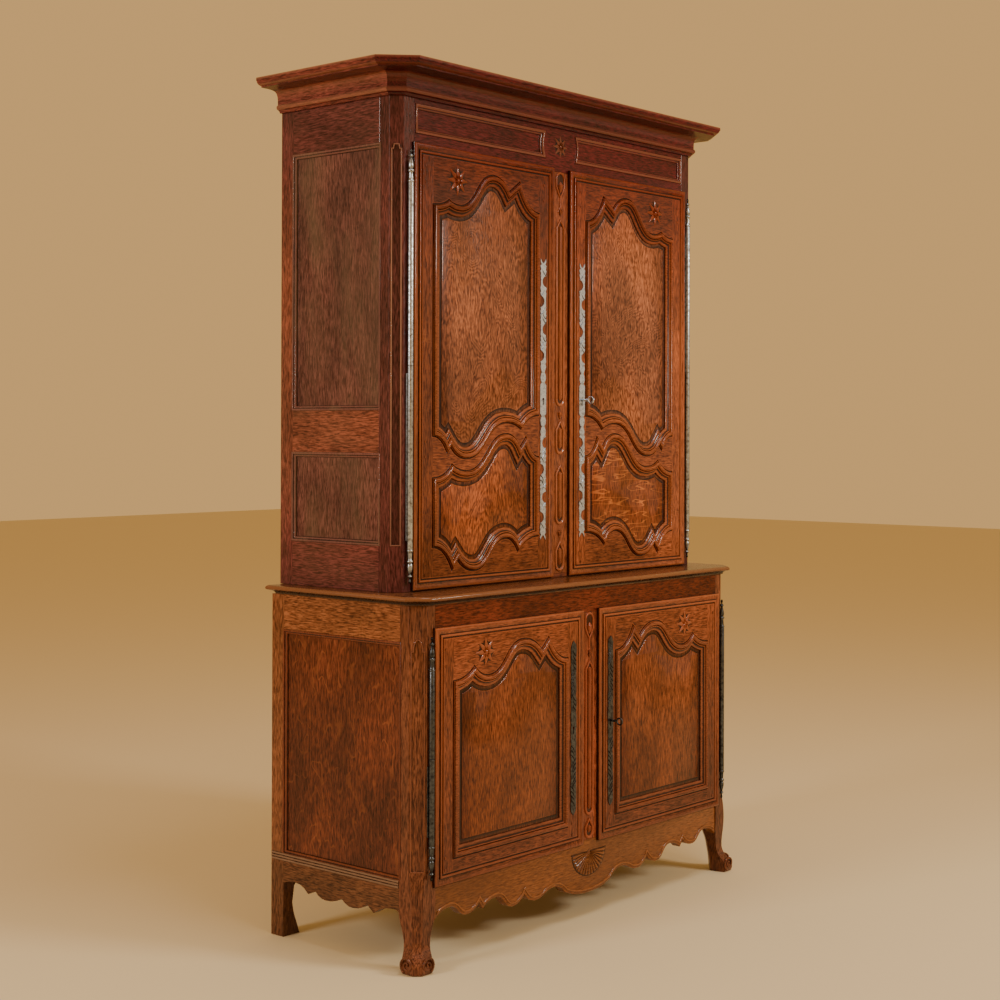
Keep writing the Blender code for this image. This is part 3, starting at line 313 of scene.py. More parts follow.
def inset(outline: Sequence[Point], distance: float) -> list[Point]:
    """Moves an outline inwards all round, mitred at its sharp corners.

    Args:
        outline: a closed outline.
        distance: how far inwards.

    Returns:
        The moved outline, with as many points.
    """
    points = [complex(*point) for point in outline]
    runs = smooth_runs(points)
    if distance:
        turning = sum((a.conjugate() * b).imag for a, b in zip(points, points[1:] + points[:1]))
        lines = [moved_run(run, math.copysign(1.0, turning) * distance) for run in runs]
        meets = [crossing(lines[i - 1], lines[i], runs[i][0]) for i in range(len(runs))]
        for i, line in enumerate(lines):
            start, end = meets[i][1], meets[(i + 1) % len(runs)][0]
            ends = [line[int(p)] + (p - int(p)) * (line[int(p) + 1] - line[int(p)]) for p in (start, end)]
            kept = [line[k] for k in range(len(line)) if start < k < end]
            runs[i] = respaced([ends[0], *kept, ends[1]], runs[i])
    return [(point.real, point.imag) for run in runs for point in run[:-1]]


def rectangle(x: Point, z: Point) -> list[Point]:
    """Gives the corners of a rectangle from its sides, and its foot and head."""
    return [(x[0], z[0]), (x[1], z[0]), (x[1], z[1]), (x[0], z[1])]


def case_plan(stage: Stage, out: float) -> list[Point]:
    """Draws a case seen from above, from back left round the front to back right.

    Args:
        stage: the stage.
        out: how far to grow it.

    Returns:
        (x, depth) points.
    """
    corner = out * math.tan(math.pi / 8)
    wide = stage.half_width + out
    half = [
        (wide, 0.0),
        (wide, stage.side_depth + corner),
        (stage.half_width - stage.cant + corner, stage.front + out),
    ]
    return [(-x, depth) for x, depth in half] + half[::-1]


def smoothed(run: Sequence[Sequence[float]], steps: int) -> list[tuple[float, ...]]:
    """Draws a smooth curve through points.

    Args:
        run: the points, of any number of coordinates.
        steps: how many pieces between two points.

    Returns:
        The curve's points.
    """
    if len(run) < 3:
        return [tuple(point) for point in run]
    first = tuple(2 * a - b for a, b in zip(run[0], run[1]))
    last = tuple(2 * a - b for a, b in zip(run[-1], run[-2]))
    ends = [first, *run, last]
    curve = [tuple(run[0])]
    for p, q, r, s in zip(ends, ends[1:], ends[2:], ends[3:]):
        for i in range(1, steps + 1):
            t = i / steps
            weights = (
                (-t + 2 * t * t - t**3) / 2,
                (2 - 5 * t * t + 3 * t**3) / 2,
                (t + 4 * t * t - 3 * t**3) / 2,
                (t**3 - t * t) / 2,
            )
            curve.append(tuple(sum(w * v for w, v in zip(weights, values)) for values in zip(p, q, r, s)))
    return curve


@dataclass(frozen=True)
class Section:
    """A moulding's section: (inset, out) points in runs, which are smooth curves that meet at an arris."""

    runs: tuple[tuple[Point, ...], ...]
    tone: float = 0.0

    def stations(self) -> list[Triple]:
        """Returns:
            (inset, out, wear) along the section; the last is above 0 on a crest, painted pale as rubbed and
            highlighted, and below 0 in a hollow, painted dark as shade.
        """
        points: list[tuple[float, ...]] = []
        for run in self.runs:
            points += smoothed(run, 3)[1 if points else 0 :]
        found = []
        for place, out in points:
            across, up = CREST_REACH
            near = [o for p, o in points if abs(p - place) < across and abs(o - out) < up]
            # A point above its neighbours is painted pale as a highlighted crest, one below them dark as
            # painted shade
            lift = (out - sum(near) / len(near)) / CREST_LIFT
            found.append((place, out, max(-1.0, min(1.0, lift - self.tone))))
        found[0] = (*found[0][:2], 0.0)
        found[-1] = (*found[-1][:2], 0.0)
        return found


@dataclass(frozen=True)
class Plane:
    """A working face: a place on it, the way across it and the way out of it. Up is always up."""

    origin: Vector
    across: Vector
    out: Vector

    def at(self, across: float, up: float, out: float) -> Vector:
        """Gives the point so far across the face, up and out of it."""
        return self.origin + across * self.across + out * self.out + Vector((0.0, 0.0, up))


def front_plane(depth: float) -> Plane:
    """Gives the face at a depth that is seen from the front."""
    return Plane(Vector((0.0, y_at(depth), 0.0)), Vector((1.0, 0.0, 0.0)), Vector((0.0, -1.0, 0.0)))


def side_plane(stage: Stage, side: Side) -> Plane:
    """Gives the face of a side, where across is the depth."""
    origin = Vector((side.value * stage.half_width, BACK_Y, 0.0))
    return Plane(origin, Vector((0.0, -1.0, 0.0)), Vector((side.value, 0.0, 0.0)))


def cant_plane(stage: Stage, side: Side) -> Plane:
    """Args:
        stage: the stage.
        side: which side.

    Returns:
        The face of the canted corner, from its middle.
    """
    half = stage.cant / 2
    origin = Vector((side.value * (stage.half_width - half), y_at(stage.side_depth + half), 0.0))
    across = Vector((side.value, 1.0, 0.0)).normalized()
    return Plane(origin, across, Vector((side.value, -1.0, 0.0)).normalized())


# Drawing meshes


class Draft:
    """A mesh drawn as rows of points with skins between them and flat faces inside them."""

    def __init__(self) -> None:
        """Starts an empty drawing."""
        self.mesh = bmesh.new()
        # Each point is marked above 0 to paint it pale as a rubbed, highlighted crest, and below 0 to paint
        # it dark as shade and grime
        self.wear = self.mesh.verts.layers.float.new("wear")

    def row(self, points: Iterable[Vector], wear: float = 0.0) -> Row:
        """Args:
            points: places in the row frame.
            wear: how far rubbed pale with a painted highlight (1), or darkened with painted shade and grime
                (-1), the row is.

        Returns:
            The row.
        """
        made = []
        for point in points:
            vertex = self.mesh.verts.new(point)
            vertex[self.wear] = wear
            made.append(vertex)
        return made

    def skin(self, rows: Sequence[Row], closed: bool = True) -> None:
        """Joins each row to the next with faces.

        Args:
            rows: rows of as many points each.
            closed: True if a row runs all the way round.
        """
        for first, second in zip(rows, rows[1:]):
            for i in range(len(first) if closed else len(first) - 1):
                j = (i + 1) % len(first)
                self.mesh.faces.new((first[i], first[j], second[j], second[i]))

    def flat(self, *rows: Row) -> None:
        """Fills a flat face.

        Args:
            rows: its outline, then its holes.
        """
        edges = []
        for row in rows:
            for a, b in zip(row, row[1:] + row[:1]):
                edges.append(self.mesh.edges.get((a, b)) or self.mesh.edges.new((a, b)))
        bmesh.ops.triangle_fill(self.mesh, use_beauty=True, use_dissolve=False, edges=edges)

    def caps(self, rows: Sequence[Row]) -> None:
        """Fills flat faces inside the first and the last row."""
        self.flat(rows[0])
        self.flat(rows[-1])

    def run(self, rows: Sequence[Row]) -> None:
        """Joins open rows round to the first again and fills their ends.

        Args:
            rows: rows of as many points each.
        """
        self.skin([*rows, rows[0]], closed=False)
        for end in (0, -1):
            self.flat([row[end] for row in rows])

    def ring(self, plane: Plane, outline: Sequence[Point], stations: Sequence[Triple]) -> list[Row]:
        """Runs a section round an outline.

        Args:
            plane: the face it lies on.
            outline: a closed outline.
            stations: the section's stations.

        Returns:
            The section's rows.
        """
        rows = []
        for place, out, wear in stations:
            rows.append(self.row((plane.at(a, u, out) for a, u in inset(outline, place)), wear))
        self.skin(rows)
        return rows

    def piece(self, name: str, angle: float = 32.0) -> Piece:
        """Ends the drawing.

        Args:
            name: the piece's name.
            angle: edges sharper than this stay sharp, in degrees.

        Returns:
            The piece.
        """
        bmesh.ops.remove_doubles(self.mesh, verts=self.mesh.verts[:], dist=MERGE)
        bmesh.ops.recalc_face_normals(self.mesh, faces=self.mesh.faces[:])
        data = bpy.data.meshes.new(name)
        self.mesh.to_mesh(data)
        self.mesh.free()
        made = placed(name, data)
        soften(made, angle)
        return made


def placed(name: str, data: bpy.types.ID) -> Piece:
    """Puts an object in the scene.

    Args:
        name: its name.
        data: its mesh, curve, lamp or camera.

    Returns:
        The object.
    """
    made = bpy.data.objects.new(name, data)
    bpy.context.scene.collection.objects.link(made)
    return made


def latest() -> Piece:
    """Gives the active object, which an operator has just made."""
    return bpy.context.view_layer.objects.active


def take(*pieces: Piece) -> None:
    """Selects only these pieces and makes the first active.

    Args:
        pieces: what to select.
    """
    bpy.ops.object.select_all(action="DESELECT")
    for piece in pieces:
        piece.select_set(True)
    bpy.context.view_layer.objects.active = pieces[0]


def soften(piece: Piece, angle: float) -> None:
    """Shades a piece smooth, apart from edges sharper than an angle in degrees."""
    take(piece)
    bpy.ops.object.shade_smooth_by_angle(angle=math.radians(angle))


def settle(piece: Piece, matrix: Matrix) -> None:
    """Puts a piece in place, with the place kept in its mesh.

    Args:
        piece: the piece.
        matrix: where it goes.
    """
    take(piece)
    piece.matrix_world = matrix @ piece.matrix_world
    bpy.ops.object.transform_apply(location=True, rotation=True, scale=True)


def copied(piece: Piece, matrix: Matrix) -> Piece:
    """Args:
        piece: what to copy.
        matrix: where the copy goes.

    Returns:
        A copy with its own mesh.
    """
    twin = piece.copy()
    twin.data = piece.data.copy()
    bpy.context.scene.collection.objects.link(twin)
    settle(twin, matrix)
    return twin


def joined(name: str, pieces: Sequence[Piece], angle: float = 40.0) -> Piece:
    """Joins pieces into one.

    Args:
        name: its name.
        pieces: what to join.
        angle: edges sharper than this stay sharp, in degrees.

    Returns:
        The joined piece.
    """
    take(*pieces)
    if len(pieces) > 1:
        bpy.ops.object.join()
    made = latest()
    made.name = name
    soften(made, angle)
    return made


def edited(piece: Piece) -> None:
    """Opens a piece in edit mode with all of it selected.

    Args:
        piece: the piece.
    """
    take(piece)
    bpy.ops.object.mode_set(mode="EDIT")
    bpy.ops.mesh.select_all(action="SELECT")


def turned(name: str, profile: Sequence[Point], steps: int = 20) -> Piece:
    """Turns a profile round the Z axis.

    Args:
        name: the piece's name.
        profile: (radius, height) points from end to end, both ends on the axis.
        steps: faces round it.

    Returns:
        The turned piece.
    """
    data = bpy.data.meshes.new(name)
    edges = [(i, i + 1) for i in range(len(profile) - 1)]
    data.from_pydata([(radius, 0.0, height) for radius, height in profile], edges, [])
    made = placed(name, data)
    edited(made)
    bpy.ops.mesh.spin(steps=steps, angle=2 * math.pi, center=(0.0, 0.0, 0.0), axis=(0.0, 0.0, 1.0))
    bpy.ops.mesh.select_all(action="SELECT")
    bpy.ops.mesh.remove_doubles(threshold=MERGE)
    bpy.ops.mesh.normals_make_consistent(inside=False)
    bpy.ops.object.mode_set(mode="OBJECT")
    return made


def ribbon(path: Sequence[Vector], radii: Sequence[float], closed: bool = False) -> Piece:
    """Draws a round rib along a path.

    Args:
        path: the rib's middle line.
        radii: its radius at each point.
        closed: True if it runs back to its start.

    Returns:
        The rib as a mesh.
    """
    curve = bpy.data.curves.new("rib", "CURVE")
    curve.dimensions = "3D"
    curve.bevel_depth = 1.0
    curve.bevel_resolution = 2
    curve.use_fill_caps = True
    spline = curve.splines.new("POLY")
    spline.points.add(len(path) - 1)
    for point, place, radius in zip(spline.points, path, radii):
        point.co = (*place, 1.0)
        point.radius = radius
    spline.use_cyclic_u = closed
    take(placed("rib", curve))
    bpy.ops.object.convert(target="MESH")
    return latest()


def worn(piece: Piece, wear: float) -> Piece:
    """Marks a whole piece as a crest, rubbed pale with a painted highlight, or as a hollow, darkened with
    painted shade and grime.

    Args:
        piece: the piece.
        wear: 1 for a crest, -1 for a hollow.

    Returns:
        The same piece.
    """
    marks = piece.data.attributes.get("wear") or piece.data.attributes.new("wear", "FLOAT", "POINT")
    marks.data.foreach_set("value", [wear] * len(piece.data.vertices))
    return piece


def prism(plane: Plane, outline: Sequence[Triple], reach: Point) -> Draft:
    """Runs a section straight across a face.

    Args:
        plane: the face.
        outline: (up, out, wear) points round the section.
        reach: where across the face it starts and ends.

    Returns:
        The drawing, ready to end.
    """
    draft = Draft()
    draft.run([draft.row((plane.at(a, up, out) for a in reach), wear) for up, out, wear in outline])
    return draft


def slab(name: str, plane: Plane, outline: Sequence[Point], depths: Point, wear: float = 0.0) -> Piece:
    """Draws a flat plate of any outline.

    Args:
        name: the piece's name.
        plane: the face it lies on.
        outline: its outline.
        depths: how far out of the face its two faces are.
        wear: how far rubbed pale with a painted highlight (1), or darkened with painted shade and grime (-1),
            it is.

    Returns:
        The plate.
    """
    draft = Draft()
    rows = [draft.row((plane.at(a, u, out) for a, u in outline), wear) for out in depths]
    draft.skin(rows)
    draft.caps(rows)
    return draft.piece(name)


# Finishes


def linear(colour: str) -> Colour:
    """Args:
        colour: an sRGB colour as six hex digits.

    Returns:
        The colour as linear light.
    """
    parts = [int(colour[i : i + 2], 16) / 255 for i in (1, 3, 5)]
    red, green, blue = (p / 12.92 if p <= 0.04045 else ((p + 0.055) / 1.055) ** 2.4 for p in parts)
    return red, green, blue, 1.0


def shade(colour: str, shares: Triple) -> Colour:
    """Gives an sRGB hex colour as linear light, with shares of its red, green and blue."""
    red, green, blue = (min(1.0, part * share) for part, share in zip(linear(colour), shares))
    return red, green, blue, 1.0


def node(tree: Tree, kind: str, inputs: Inputs, out: int | str = 0, **settings: object) -> Socket:
    """Adds a node.

    Args:
        tree: where it goes.
        kind: its type, without the words that all types start with.
        inputs: a value, or another node's output, for each socket in order or by its number or name.
        out: which of its outputs is wanted.
        settings: its properties.

    Returns:
        That output.
    """
    made = tree.nodes.new(f"ShaderNode{kind}")
    for name, value in settings.items():
        setattr(made, name, value)
    for socket, value in inputs.items() if isinstance(inputs, dict) else enumerate(inputs):
        if isinstance(value, Socket):
            tree.links.new(value, made.inputs[socket])
        else:
            made.inputs[socket].default_value = value
    return made.outputs[out]


class Grain(Enum):
    """Which way the fibres run, as the axis that becomes the texture's long one."""

    UPRIGHT = ("X", "Y", "Z")
    ACROSS = ("Z", "Y", "X")
    DEEP = ("X", "Z", "Y")


@dataclass(frozen=True)
class Oak:
    """Polished oak: long dark fibres and pores, crown figure, medullary flecks across it, and crests rubbed
    pale with painted highlights, with painted shade and grime in the hollows.

    A pair of darkening heights is where the oak grows darker by its darkening tint, and an edge the sides of
    a panel that darkens towards them. Across the cupboard, painted light sets the brightness at its left and
    its right, higher at the right, where more light falls.
    """

    name: str
    slot: str
    tint: str
    grain: Grain = Grain.UPRIGHT
    fleck: float = 0.12
    fleck_cells: Triple = (15.0, 15.0, 62.0)
    fleck_patches: Triple = (9.0, 9.0, 14.0)
    figure: float = 0.3
    swirl: float = 1.3
    stain: float = 0.34
    roughness: float = 0.30
    rails: Point | None = None
    rails_before_y: float | None = None
    dust: float = 0.0
    smoke: tuple[Point, ...] = ()
    soot: Triple = (0.44, 0.17, 0.17)
    edge: Point | None = None
    fade: Point = (1.0, 1.0)
    crest: str = ""

    def grained(self, tree: Tree) -> Socket:
        """Lays the texture's Z along the fibres, with rails turned where the piece has them.

        Args:
            tree: the material's nodes.

        Returns:
            The texture's coordinates in metres.
        """
        add = partial(node, tree)
        place = add("TexCoord", (), "Object")
        board = add("Attribute", (), "Fac", attribute_name="board")
        shift = add("VectorMath", {0: BOARD_SHIFT, "Scale": board}, operation="SCALE")
        axes = add("SeparateXYZ", (add("VectorMath", (place, shift)),)).node.outputs
        ways = {grain: add("CombineXYZ", [axes[letter] for letter in grain.value]) for grain in Grain}
        still = add("SeparateXYZ", (place,)).node.outputs
        if self.rails is not None:
            reach = add("Math", (still["X"],), operation="ABSOLUTE")
            past = add("Math", (reach, self.rails[0]), operation="GREATER_THAN")
            short = add("Math", (reach, self.rails[1]), operation="LESS_THAN")
            rail = add("Math", (past, short), operation="MULTIPLY")
            other = ways[Grain.ACROSS]
        elif self.rails_before_y is not None:
            rail = add("Math", (still["Y"], self.rails_before_y), operation="LESS_THAN")
            other = ways[Grain.DEEP]
        else:
            return ways[self.grain]
        return add("Mix", {0: rail, 4: ways[self.grain], 5: other}, 1, data_type="VECTOR")

    def patterns(self, tree: Tree) -> dict[str, Socket]:
        """Draws noises out along the fibres.

        Args:
            tree: the material's nodes.

        Returns:
            Each noise by its name.
        """
        # Cells per metre across, through and along the fibres, finer layers, and how far it swirls
        # Fibres and pores are 0.2 mm wide in real oak: they are drawn 2 to 3 mm wide so that they show
        layers = {
            "growth": ((7.0, 7.0, self.swirl), 2.0, 0.5),
            "ripple": ((62.0, 62.0, 30.0), 3.0, 0.0),
            "fibre": ((290.0, 290.0, 34.0), 4.0, 0.0),
            "pores": ((390.0, 390.0, 48.0), 1.0, 0.0),
            "stain": ((6.0, 6.0, 3.2), 4.0, 0.4),
            "rays": (self.fleck_cells, 0.0, 0.5),
            "ray_patches": (self.fleck_patches, 2.0, 0.0),
        }
        if self.dust:
            layers["bloom"] = ((9.0, 9.0, 3.0), 3.0, 0.5)
        grain = self.grained(tree)
        drawn = {}
        for name, (cells, detail, distortion) in layers.items():
            spread = node(tree, "VectorMath", (grain, cells), operation="MULTIPLY")
            inputs = {"Vector": spread, "Scale": 1.0, "Detail": detail, "Distortion": distortion}
            drawn[name] = node(tree, "TexNoise", inputs, "Fac")
        return drawn

    def make(self) -> Material:
        """Returns:
            The material.
        """
        material = bpy.data.materials.new(self.name)
        material.use_nodes = True
        tree = material.node_tree
        add = partial(node, tree)
        noises = self.patterns(tree)
        wear = add("Attribute", (), "Fac", attribute_name="wear")
        spot = add("SeparateXYZ", (add("TexCoord", (), "Object"),)).node.outputs
        # Growth rings cut by the saw: contour lines of a slow noise, ruffled by a finer one
        ruffle = add("Math", (noises["ripple"], 17.0), operation="MULTIPLY")
        phase = add("Math", (noises["growth"], 205.0, ruffle), operation="MULTIPLY_ADD")
        swing = 0.20 * self.figure
        sine = add("Math", (phase,), operation="SINE")
        rings = add("MapRange", (sine, -1.0, 1.0, 0.5 - swing, 0.5 + swing))
        fibre = add("Math", (noises["fibre"], 0.6), operation="MULTIPLY")
        tone = add("Math", (rings, 0.4, fibre), operation="MULTIPLY_ADD")
        pores = add("MapRange", (noises["pores"], 0.53, 0.64, 0.0, 0.72))
        # Medullary rays: thin wavy lines across the fibres, in patches
        ray = add("Math", (add("Math", (noises["rays"], 0.5), operation="SUBTRACT"),), operation="ABSOLUTE")
        lines = add("MapRange", (ray, 0.012, 0.046, self.fleck, 0.0))
        bare = 0.60 - 0.3 * self.fleck
        patches = add("MapRange", (noises["ray_patches"], bare, bare + 0.10))
        flecks = add("Math", (lines, patches), operation="MULTIPLY")
        colour = shade(self.tint, (0.40, 0.31, 0.28))
        layers = (
            (add("MapRange", (tone, 0.37, 0.63)), shade(self.tint, (1.98, 2.24, 2.28))),
            (pores, shade(self.tint, (0.22, 0.16, 0.14))),
            (flecks, shade(self.tint, (2.5, 3.3, 2.8))),
        )
        for share, above in layers:
            colour = add("Mix", {0: share, 6: colour, 7: above}, 2, data_type="RGBA")
        stains = add("MapRange", (noises["stain"], 0.34, 0.66, 1.0 - self.stain, 1.0 + self.stain))
        # Painted light: brighter towards the right of the cupboard, where more light falls
        sun = add("MapRange", (spot["X"], -UPPER.opening, UPPER.opening, *self.fade))
        value = add("Math", (stains, sun), operation="MULTIPLY")
        colour = add("HueSaturation", {"Value": value, "Color": colour})
        # Crests are rubbed pale and carry a painted highlight; hollows are painted dark as shade, over old
        # wax and dust
        crest = linear(self.crest) if self.crest else shade(self.tint, (2.1, 2.5, 2.7))
        for span, above in (((0.1, 0.9, 0.0, 0.76), crest), ((-0.1, -0.85, 0.0, 0.86), linear("#160a06"))):
            share = add("MapRange", (wear, *span))
            colour = add("Mix", {0: share, 6: colour, 7: above}, 2, data_type="RGBA")
        # Darker between given heights and towards a panel's sides
        darkenings = [(add("MapRange", (spot["Z"], *heights, 0.0, 0.94)), self.soot) for heights in self.smoke]
        if self.edge is not None:
            reach = add("Math", (spot["X"],), operation="ABSOLUTE")
            inner = add("Math", (reach, self.edge[0]), operation="SUBTRACT")
            outer = add("Math", (self.edge[1], reach), operation="SUBTRACT")
            margin = add("Math", (inner, outer), operation="MINIMUM")
            darkenings.insert(0, (add("MapRange", (margin, 0.0, 0.060, 0.72, 0.0)), (0.46, 0.32, 0.32)))
        for share, by in darkenings:
            inputs = {0: share, 6: colour, 7: (*by, 1.0)}
            colour = add("Mix", inputs, 2, data_type="RGBA", blend_type="MULTIPLY")
        if self.dust:
            bloom = add("MapRange", (noises["bloom"], 0.42, 0.74, 0.0, self.dust))
            colour = add("Mix", {0: bloom, 6: colour, 7: linear("#6c5c46")}, 2, data_type="RGBA")
        rough = add("MapRange", (noises["fibre"], 0.3, 0.7, self.roughness - 0.05, self.roughness + 0.10))
        height = add("Math", (fibre, pores), operation="SUBTRACT")
        bump = add("Bump", {"Strength": 0.28, "Distance": 0.0006, "Height": height})
        shader = tree.nodes["Principled BSDF"]
        for socket, output in (("Base Color", colour), ("Roughness", rough), ("Normal", bump)):
            tree.links.new(output, shader.inputs[socket])
        for socket, amount in (("Specular IOR Level", 0.13), ("Coat Weight", 0.28), ("Coat Roughness", 0.08)):
            shader.inputs[socket].default_value = amount
        return material


@dataclass(frozen=True)
class Metal:
    """Bare metal: bright where it is handled, with brown-grey tarnish in patches, and marked lines, grooves
    and slots painted dark as shade and dirt.
    """

    name: str
    slot: str
    bright: str
    tarnish: str
    patches: Point
    roughness: float

    def make(self) -> Material:
        """Returns:
            The material.
        """
        material = bpy.data.materials.new(self.name)
        material.use_nodes = True
        tree = material.node_tree
        add = partial(node, tree)
        place = add("TexCoord", (), "Object")
        cloud = add("TexNoise", {"Vector": place, "Scale": 110.0, "Detail": 4.0, "Roughness": 0.6}, "Fac")
        pits = add("TexNoise", {"Vector": place, "Scale": 420.0, "Detail": 2.0}, "Fac")
        # Marked lines, grooves and slots are painted dark: painted shade, with dirt in the engraved lines
        shade_and_dirt = add("Attribute", (), "Fac", attribute_name="wear")
        colour = linear(self.bright)
        layers = (
            ((cloud, *self.patches), linear(self.tarnish)),
            ((shade_and_dirt, 0.0, -1.0, 0.0, 0.95), linear("#120d0a")),
        )
        for span, above in layers:
            share = add("MapRange", span)
            colour = add("Mix", {0: share, 6: colour, 7: above}, 2, data_type="RGBA")
        rough = add("MapRange", (cloud, 0.3, 0.7, self.roughness - 0.06, self.roughness + 0.16))
        bump = add("Bump", {"Strength": 0.2, "Distance": 0.0004, "Height": pits})
        shader = tree.nodes["Principled BSDF"]
        for socket, output in (("Base Color", colour), ("Roughness", rough), ("Normal", bump)):
            tree.links.new(output, shader.inputs[socket])
        shader.inputs["Metallic"].default_value = 0.9
        return material


Finish = Oak | Metal

# Nearly black red-brown oak of the cornice, frieze and upper posts: many coats of polish over old stain;
# their crests are painted a paler brown, as rubbed arrises with a painted highlight
CORNICE_OAK = Oak(
    "dark_polished_oak_level", "dark_oak", "#4a1013", Grain.ACROSS, fade=(0.72, 1.08), crest="#7d4b38"
)
RETURN_OAK = Oak("dark_polished_oak_deep", "dark_oak", "#6a3029", Grain.DEEP, crest="#96664c")
POST_OAK = Oak(
    "dark_polished_oak_upright", "dark_oak", "#542a26",
    smoke=((1.85, 2.25), (1.50, 1.10)), soot=(0.60, 0.50, 0.55), crest="#9a7058",
)
# The upper side is duller: dust lies in the polish
UPPER_SIDE_OAK = Oak(
    "dusty_oak", "dark_oak", "#6a3728", dust=0.15, roughness=0.40, rails_before_y=y_at(REAR_POST_DEPTH),
    smoke=((1.96, 2.20), (1.40, 1.06)), soot=(0.62, 0.50, 0.86),
)
UPPER_SIDE_PANEL_OAK = Oak("dusty_oak_panel", "dark_oak", "#56322c", dust=0.40, roughness=0.44)
# Golden-brown oak of the doors, with flecks across the rails, darker at the top and at the foot
UPPER_DOOR_OAK = Oak(
    "upper_door_oak", "oak", "#6b351c", fleck=0.22, rails=(UPPER.panel_inner, UPPER.panel_outer),
    smoke=((1.72, 2.22),), fade=(0.82, 1.46),
)
UPPER_STILE_OAK = Oak("upper_stile_oak", "oak", "#743d24", smoke=((1.85, 2.40),))
LOWER_DOOR_OAK = Oak(
    "lower_door_oak", "oak", "#6f371f", fleck=0.16, rails=(LOWER.panel_inner, LOWER.panel_outer),
    smoke=((0.85, 0.0),), soot=(0.45, 0.45, 0.60),
)
LOWER_STILE_OAK = Oak("lower_stile_oak", "oak", "#703520")
# Panels sawn through the heart: strong crown figure, and darker towards their sides next to the frame
UPPER_EDGE, LOWER_EDGE = (
    (stage.panel_inner + EDGE_MARGIN, stage.panel_outer - EDGE_MARGIN) for stage in (UPPER, LOWER)
)
TALL_PANEL_OAK = Oak(
    "crown_figured_oak", "panel_oak", "#7c472e", fleck=0.06, figure=0.85, swirl=4.0, edge=UPPER_EDGE,
    smoke=((1.88, 2.34),), fade=(0.80, 1.28),
)
SHORT_PANEL_OAK = Oak(
    "short_panel_oak", "panel_oak", "#804122", fleck=0.10, figure=0.8, swirl=2.2, edge=UPPER_EDGE
)
LOWER_PANEL_OAK = Oak(
    "lower_panel_oak", "panel_oak", "#633119", fleck=0.10, figure=0.4, edge=LOWER_EDGE, fade=(1.0, 1.14)
)
# The right short panel and the lower sides are sawn on the quarter: broad silvery flecks
FLECKED_OAK = Oak(
    "quartered_oak", "panel_oak", "#74391d", fleck=0.95, fleck_cells=(10.0, 10.0, 72.0), edge=UPPER_EDGE
)
LOWER_SIDE_PANEL_OAK = Oak(
    "flecked_side_oak", "panel_oak", "#552718",
    fleck=0.5, fleck_cells=(40.0, 40.0, 17.0), fleck_patches=(30.0, 30.0, 18.0),
)
# The lower case is rubbed by hands and feet: browner, with pale crests that also carry a painted highlight
LOWER_SIDE_OAK = Oak(
    "lower_side_oak", "oak", "#79462b", fleck=0.14, rails_before_y=y_at(REAR_POST_DEPTH),
    smoke=((0.36, 0.18),), soot=(0.38, 0.42, 0.45),
)
LOWER_POST_OAK = Oak("worn_oak_upright", "oak", "#5f3422")
LOWER_RAIL_OAK = Oak("stained_oak_level", "oak", "#5a2313", Grain.ACROSS)
APRON_OAK = Oak("worn_oak_level", "oak", "#63371b", Grain.ACROSS)
TABLE_OAK = Oak("worn_table_oak", "oak", "#59331d", Grain.ACROSS, roughness=0.26)
REED_OAK = Oak("worn_oak_deep", "oak", "#5c4132", Grain.DEEP)
# The floor boards show below the doors, so they are stained
FLOOR_OAK = Oak("stained_floor_oak", "raw_oak", "#5c2c1a", Grain.ACROSS, roughness=0.45)
# Unpolished boards inside: pale, matt and dry
RAW_UPRIGHT = Oak("raw_oak_upright", "raw_oak", "#8f6f4a", stain=0.16, roughness=0.70)
RAW_LEVEL = Oak("raw_oak_level", "raw_oak", "#8f6f4a", Grain.ACROSS, stain=0.16, roughness=0.70)
# Steel rubbed bright on the upper doors, and iron left dark and oily on the lower ones
STEEL = Metal("polished_steel", "polished_steel", "#c6d4e6", "#70767c", (0.46, 0.72), 0.28)
BARREL_STEEL = Metal("tarnished_steel", "polished_steel", "#b6bec6", "#625d56", (0.42, 0.70), 0.30)
IRON = Metal("dark_iron", "dark_iron", "#585d63", "#2c2c2e", (0.38, 0.66), 0.28)


class Workshop:
    """Hands out finishes and gives each finished piece its material, body and place in the log."""

    def __init__(self) -> None:
        """Starts with no material made and no piece fitted."""
        self.made: dict[str, Material] = {}
        self.count = 0

    def material(self, finish: Finish) -> Material:
        """Args:
            finish: a finish.

        Returns:
            Its material, made once.
        """
        if finish.name not in self.made:
            self.made[finish.name] = finish.make()
        return self.made[finish.name]

    def fit(self, piece: Piece, finish: Finish, body: str, *nodes: str) -> None:
        """Ends a piece.

        Args:
            piece: the piece.
            finish: its finish.
            body: the body it rides on.
            nodes: the CAD nodes it stands for.
        """
        piece.data.materials.clear()
        piece.data.materials.append(self.material(finish))
        for name in ("board", "wear"):
            if name not in piece.data.attributes:
                piece.data.attributes.new(name, "FLOAT", "POINT")
        self.count += 1
        board = [self.count * BOARD_STEP % 1.0] * len(piece.data.vertices)
        piece.data.attributes["board"].data.foreach_set("value", board)
        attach(piece, body)
        if nodes:
            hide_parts(*nodes)
        LOG.info("%s rides on %s, %d faces", piece.name, body, len(piece.data.polygons))

    def keep(self, finish: Finish, *nodes: str) -> None:
        """Gives CAD nodes that stay in sight a finish and eased edges.

        Args:
            finish: the finish.
            nodes: their names.
        """
        for name in nodes:
            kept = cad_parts[name]
            for place in kept.material_slots:
                place.material = self.material(finish)
            weld = kept.modifiers.new("weld", "WELD")
            weld.merge_threshold = 1e-5
            ease = kept.modifiers.new("eased_edges", "BEVEL")
            ease.width = EASED_EDGE
            ease.segments = 2
            ease.limit_method = "ANGLE"
            ease.angle_limit = math.radians(40)
            LOG.info("%s keeps its CAD shape", name)


WORKSHOP = Workshop()
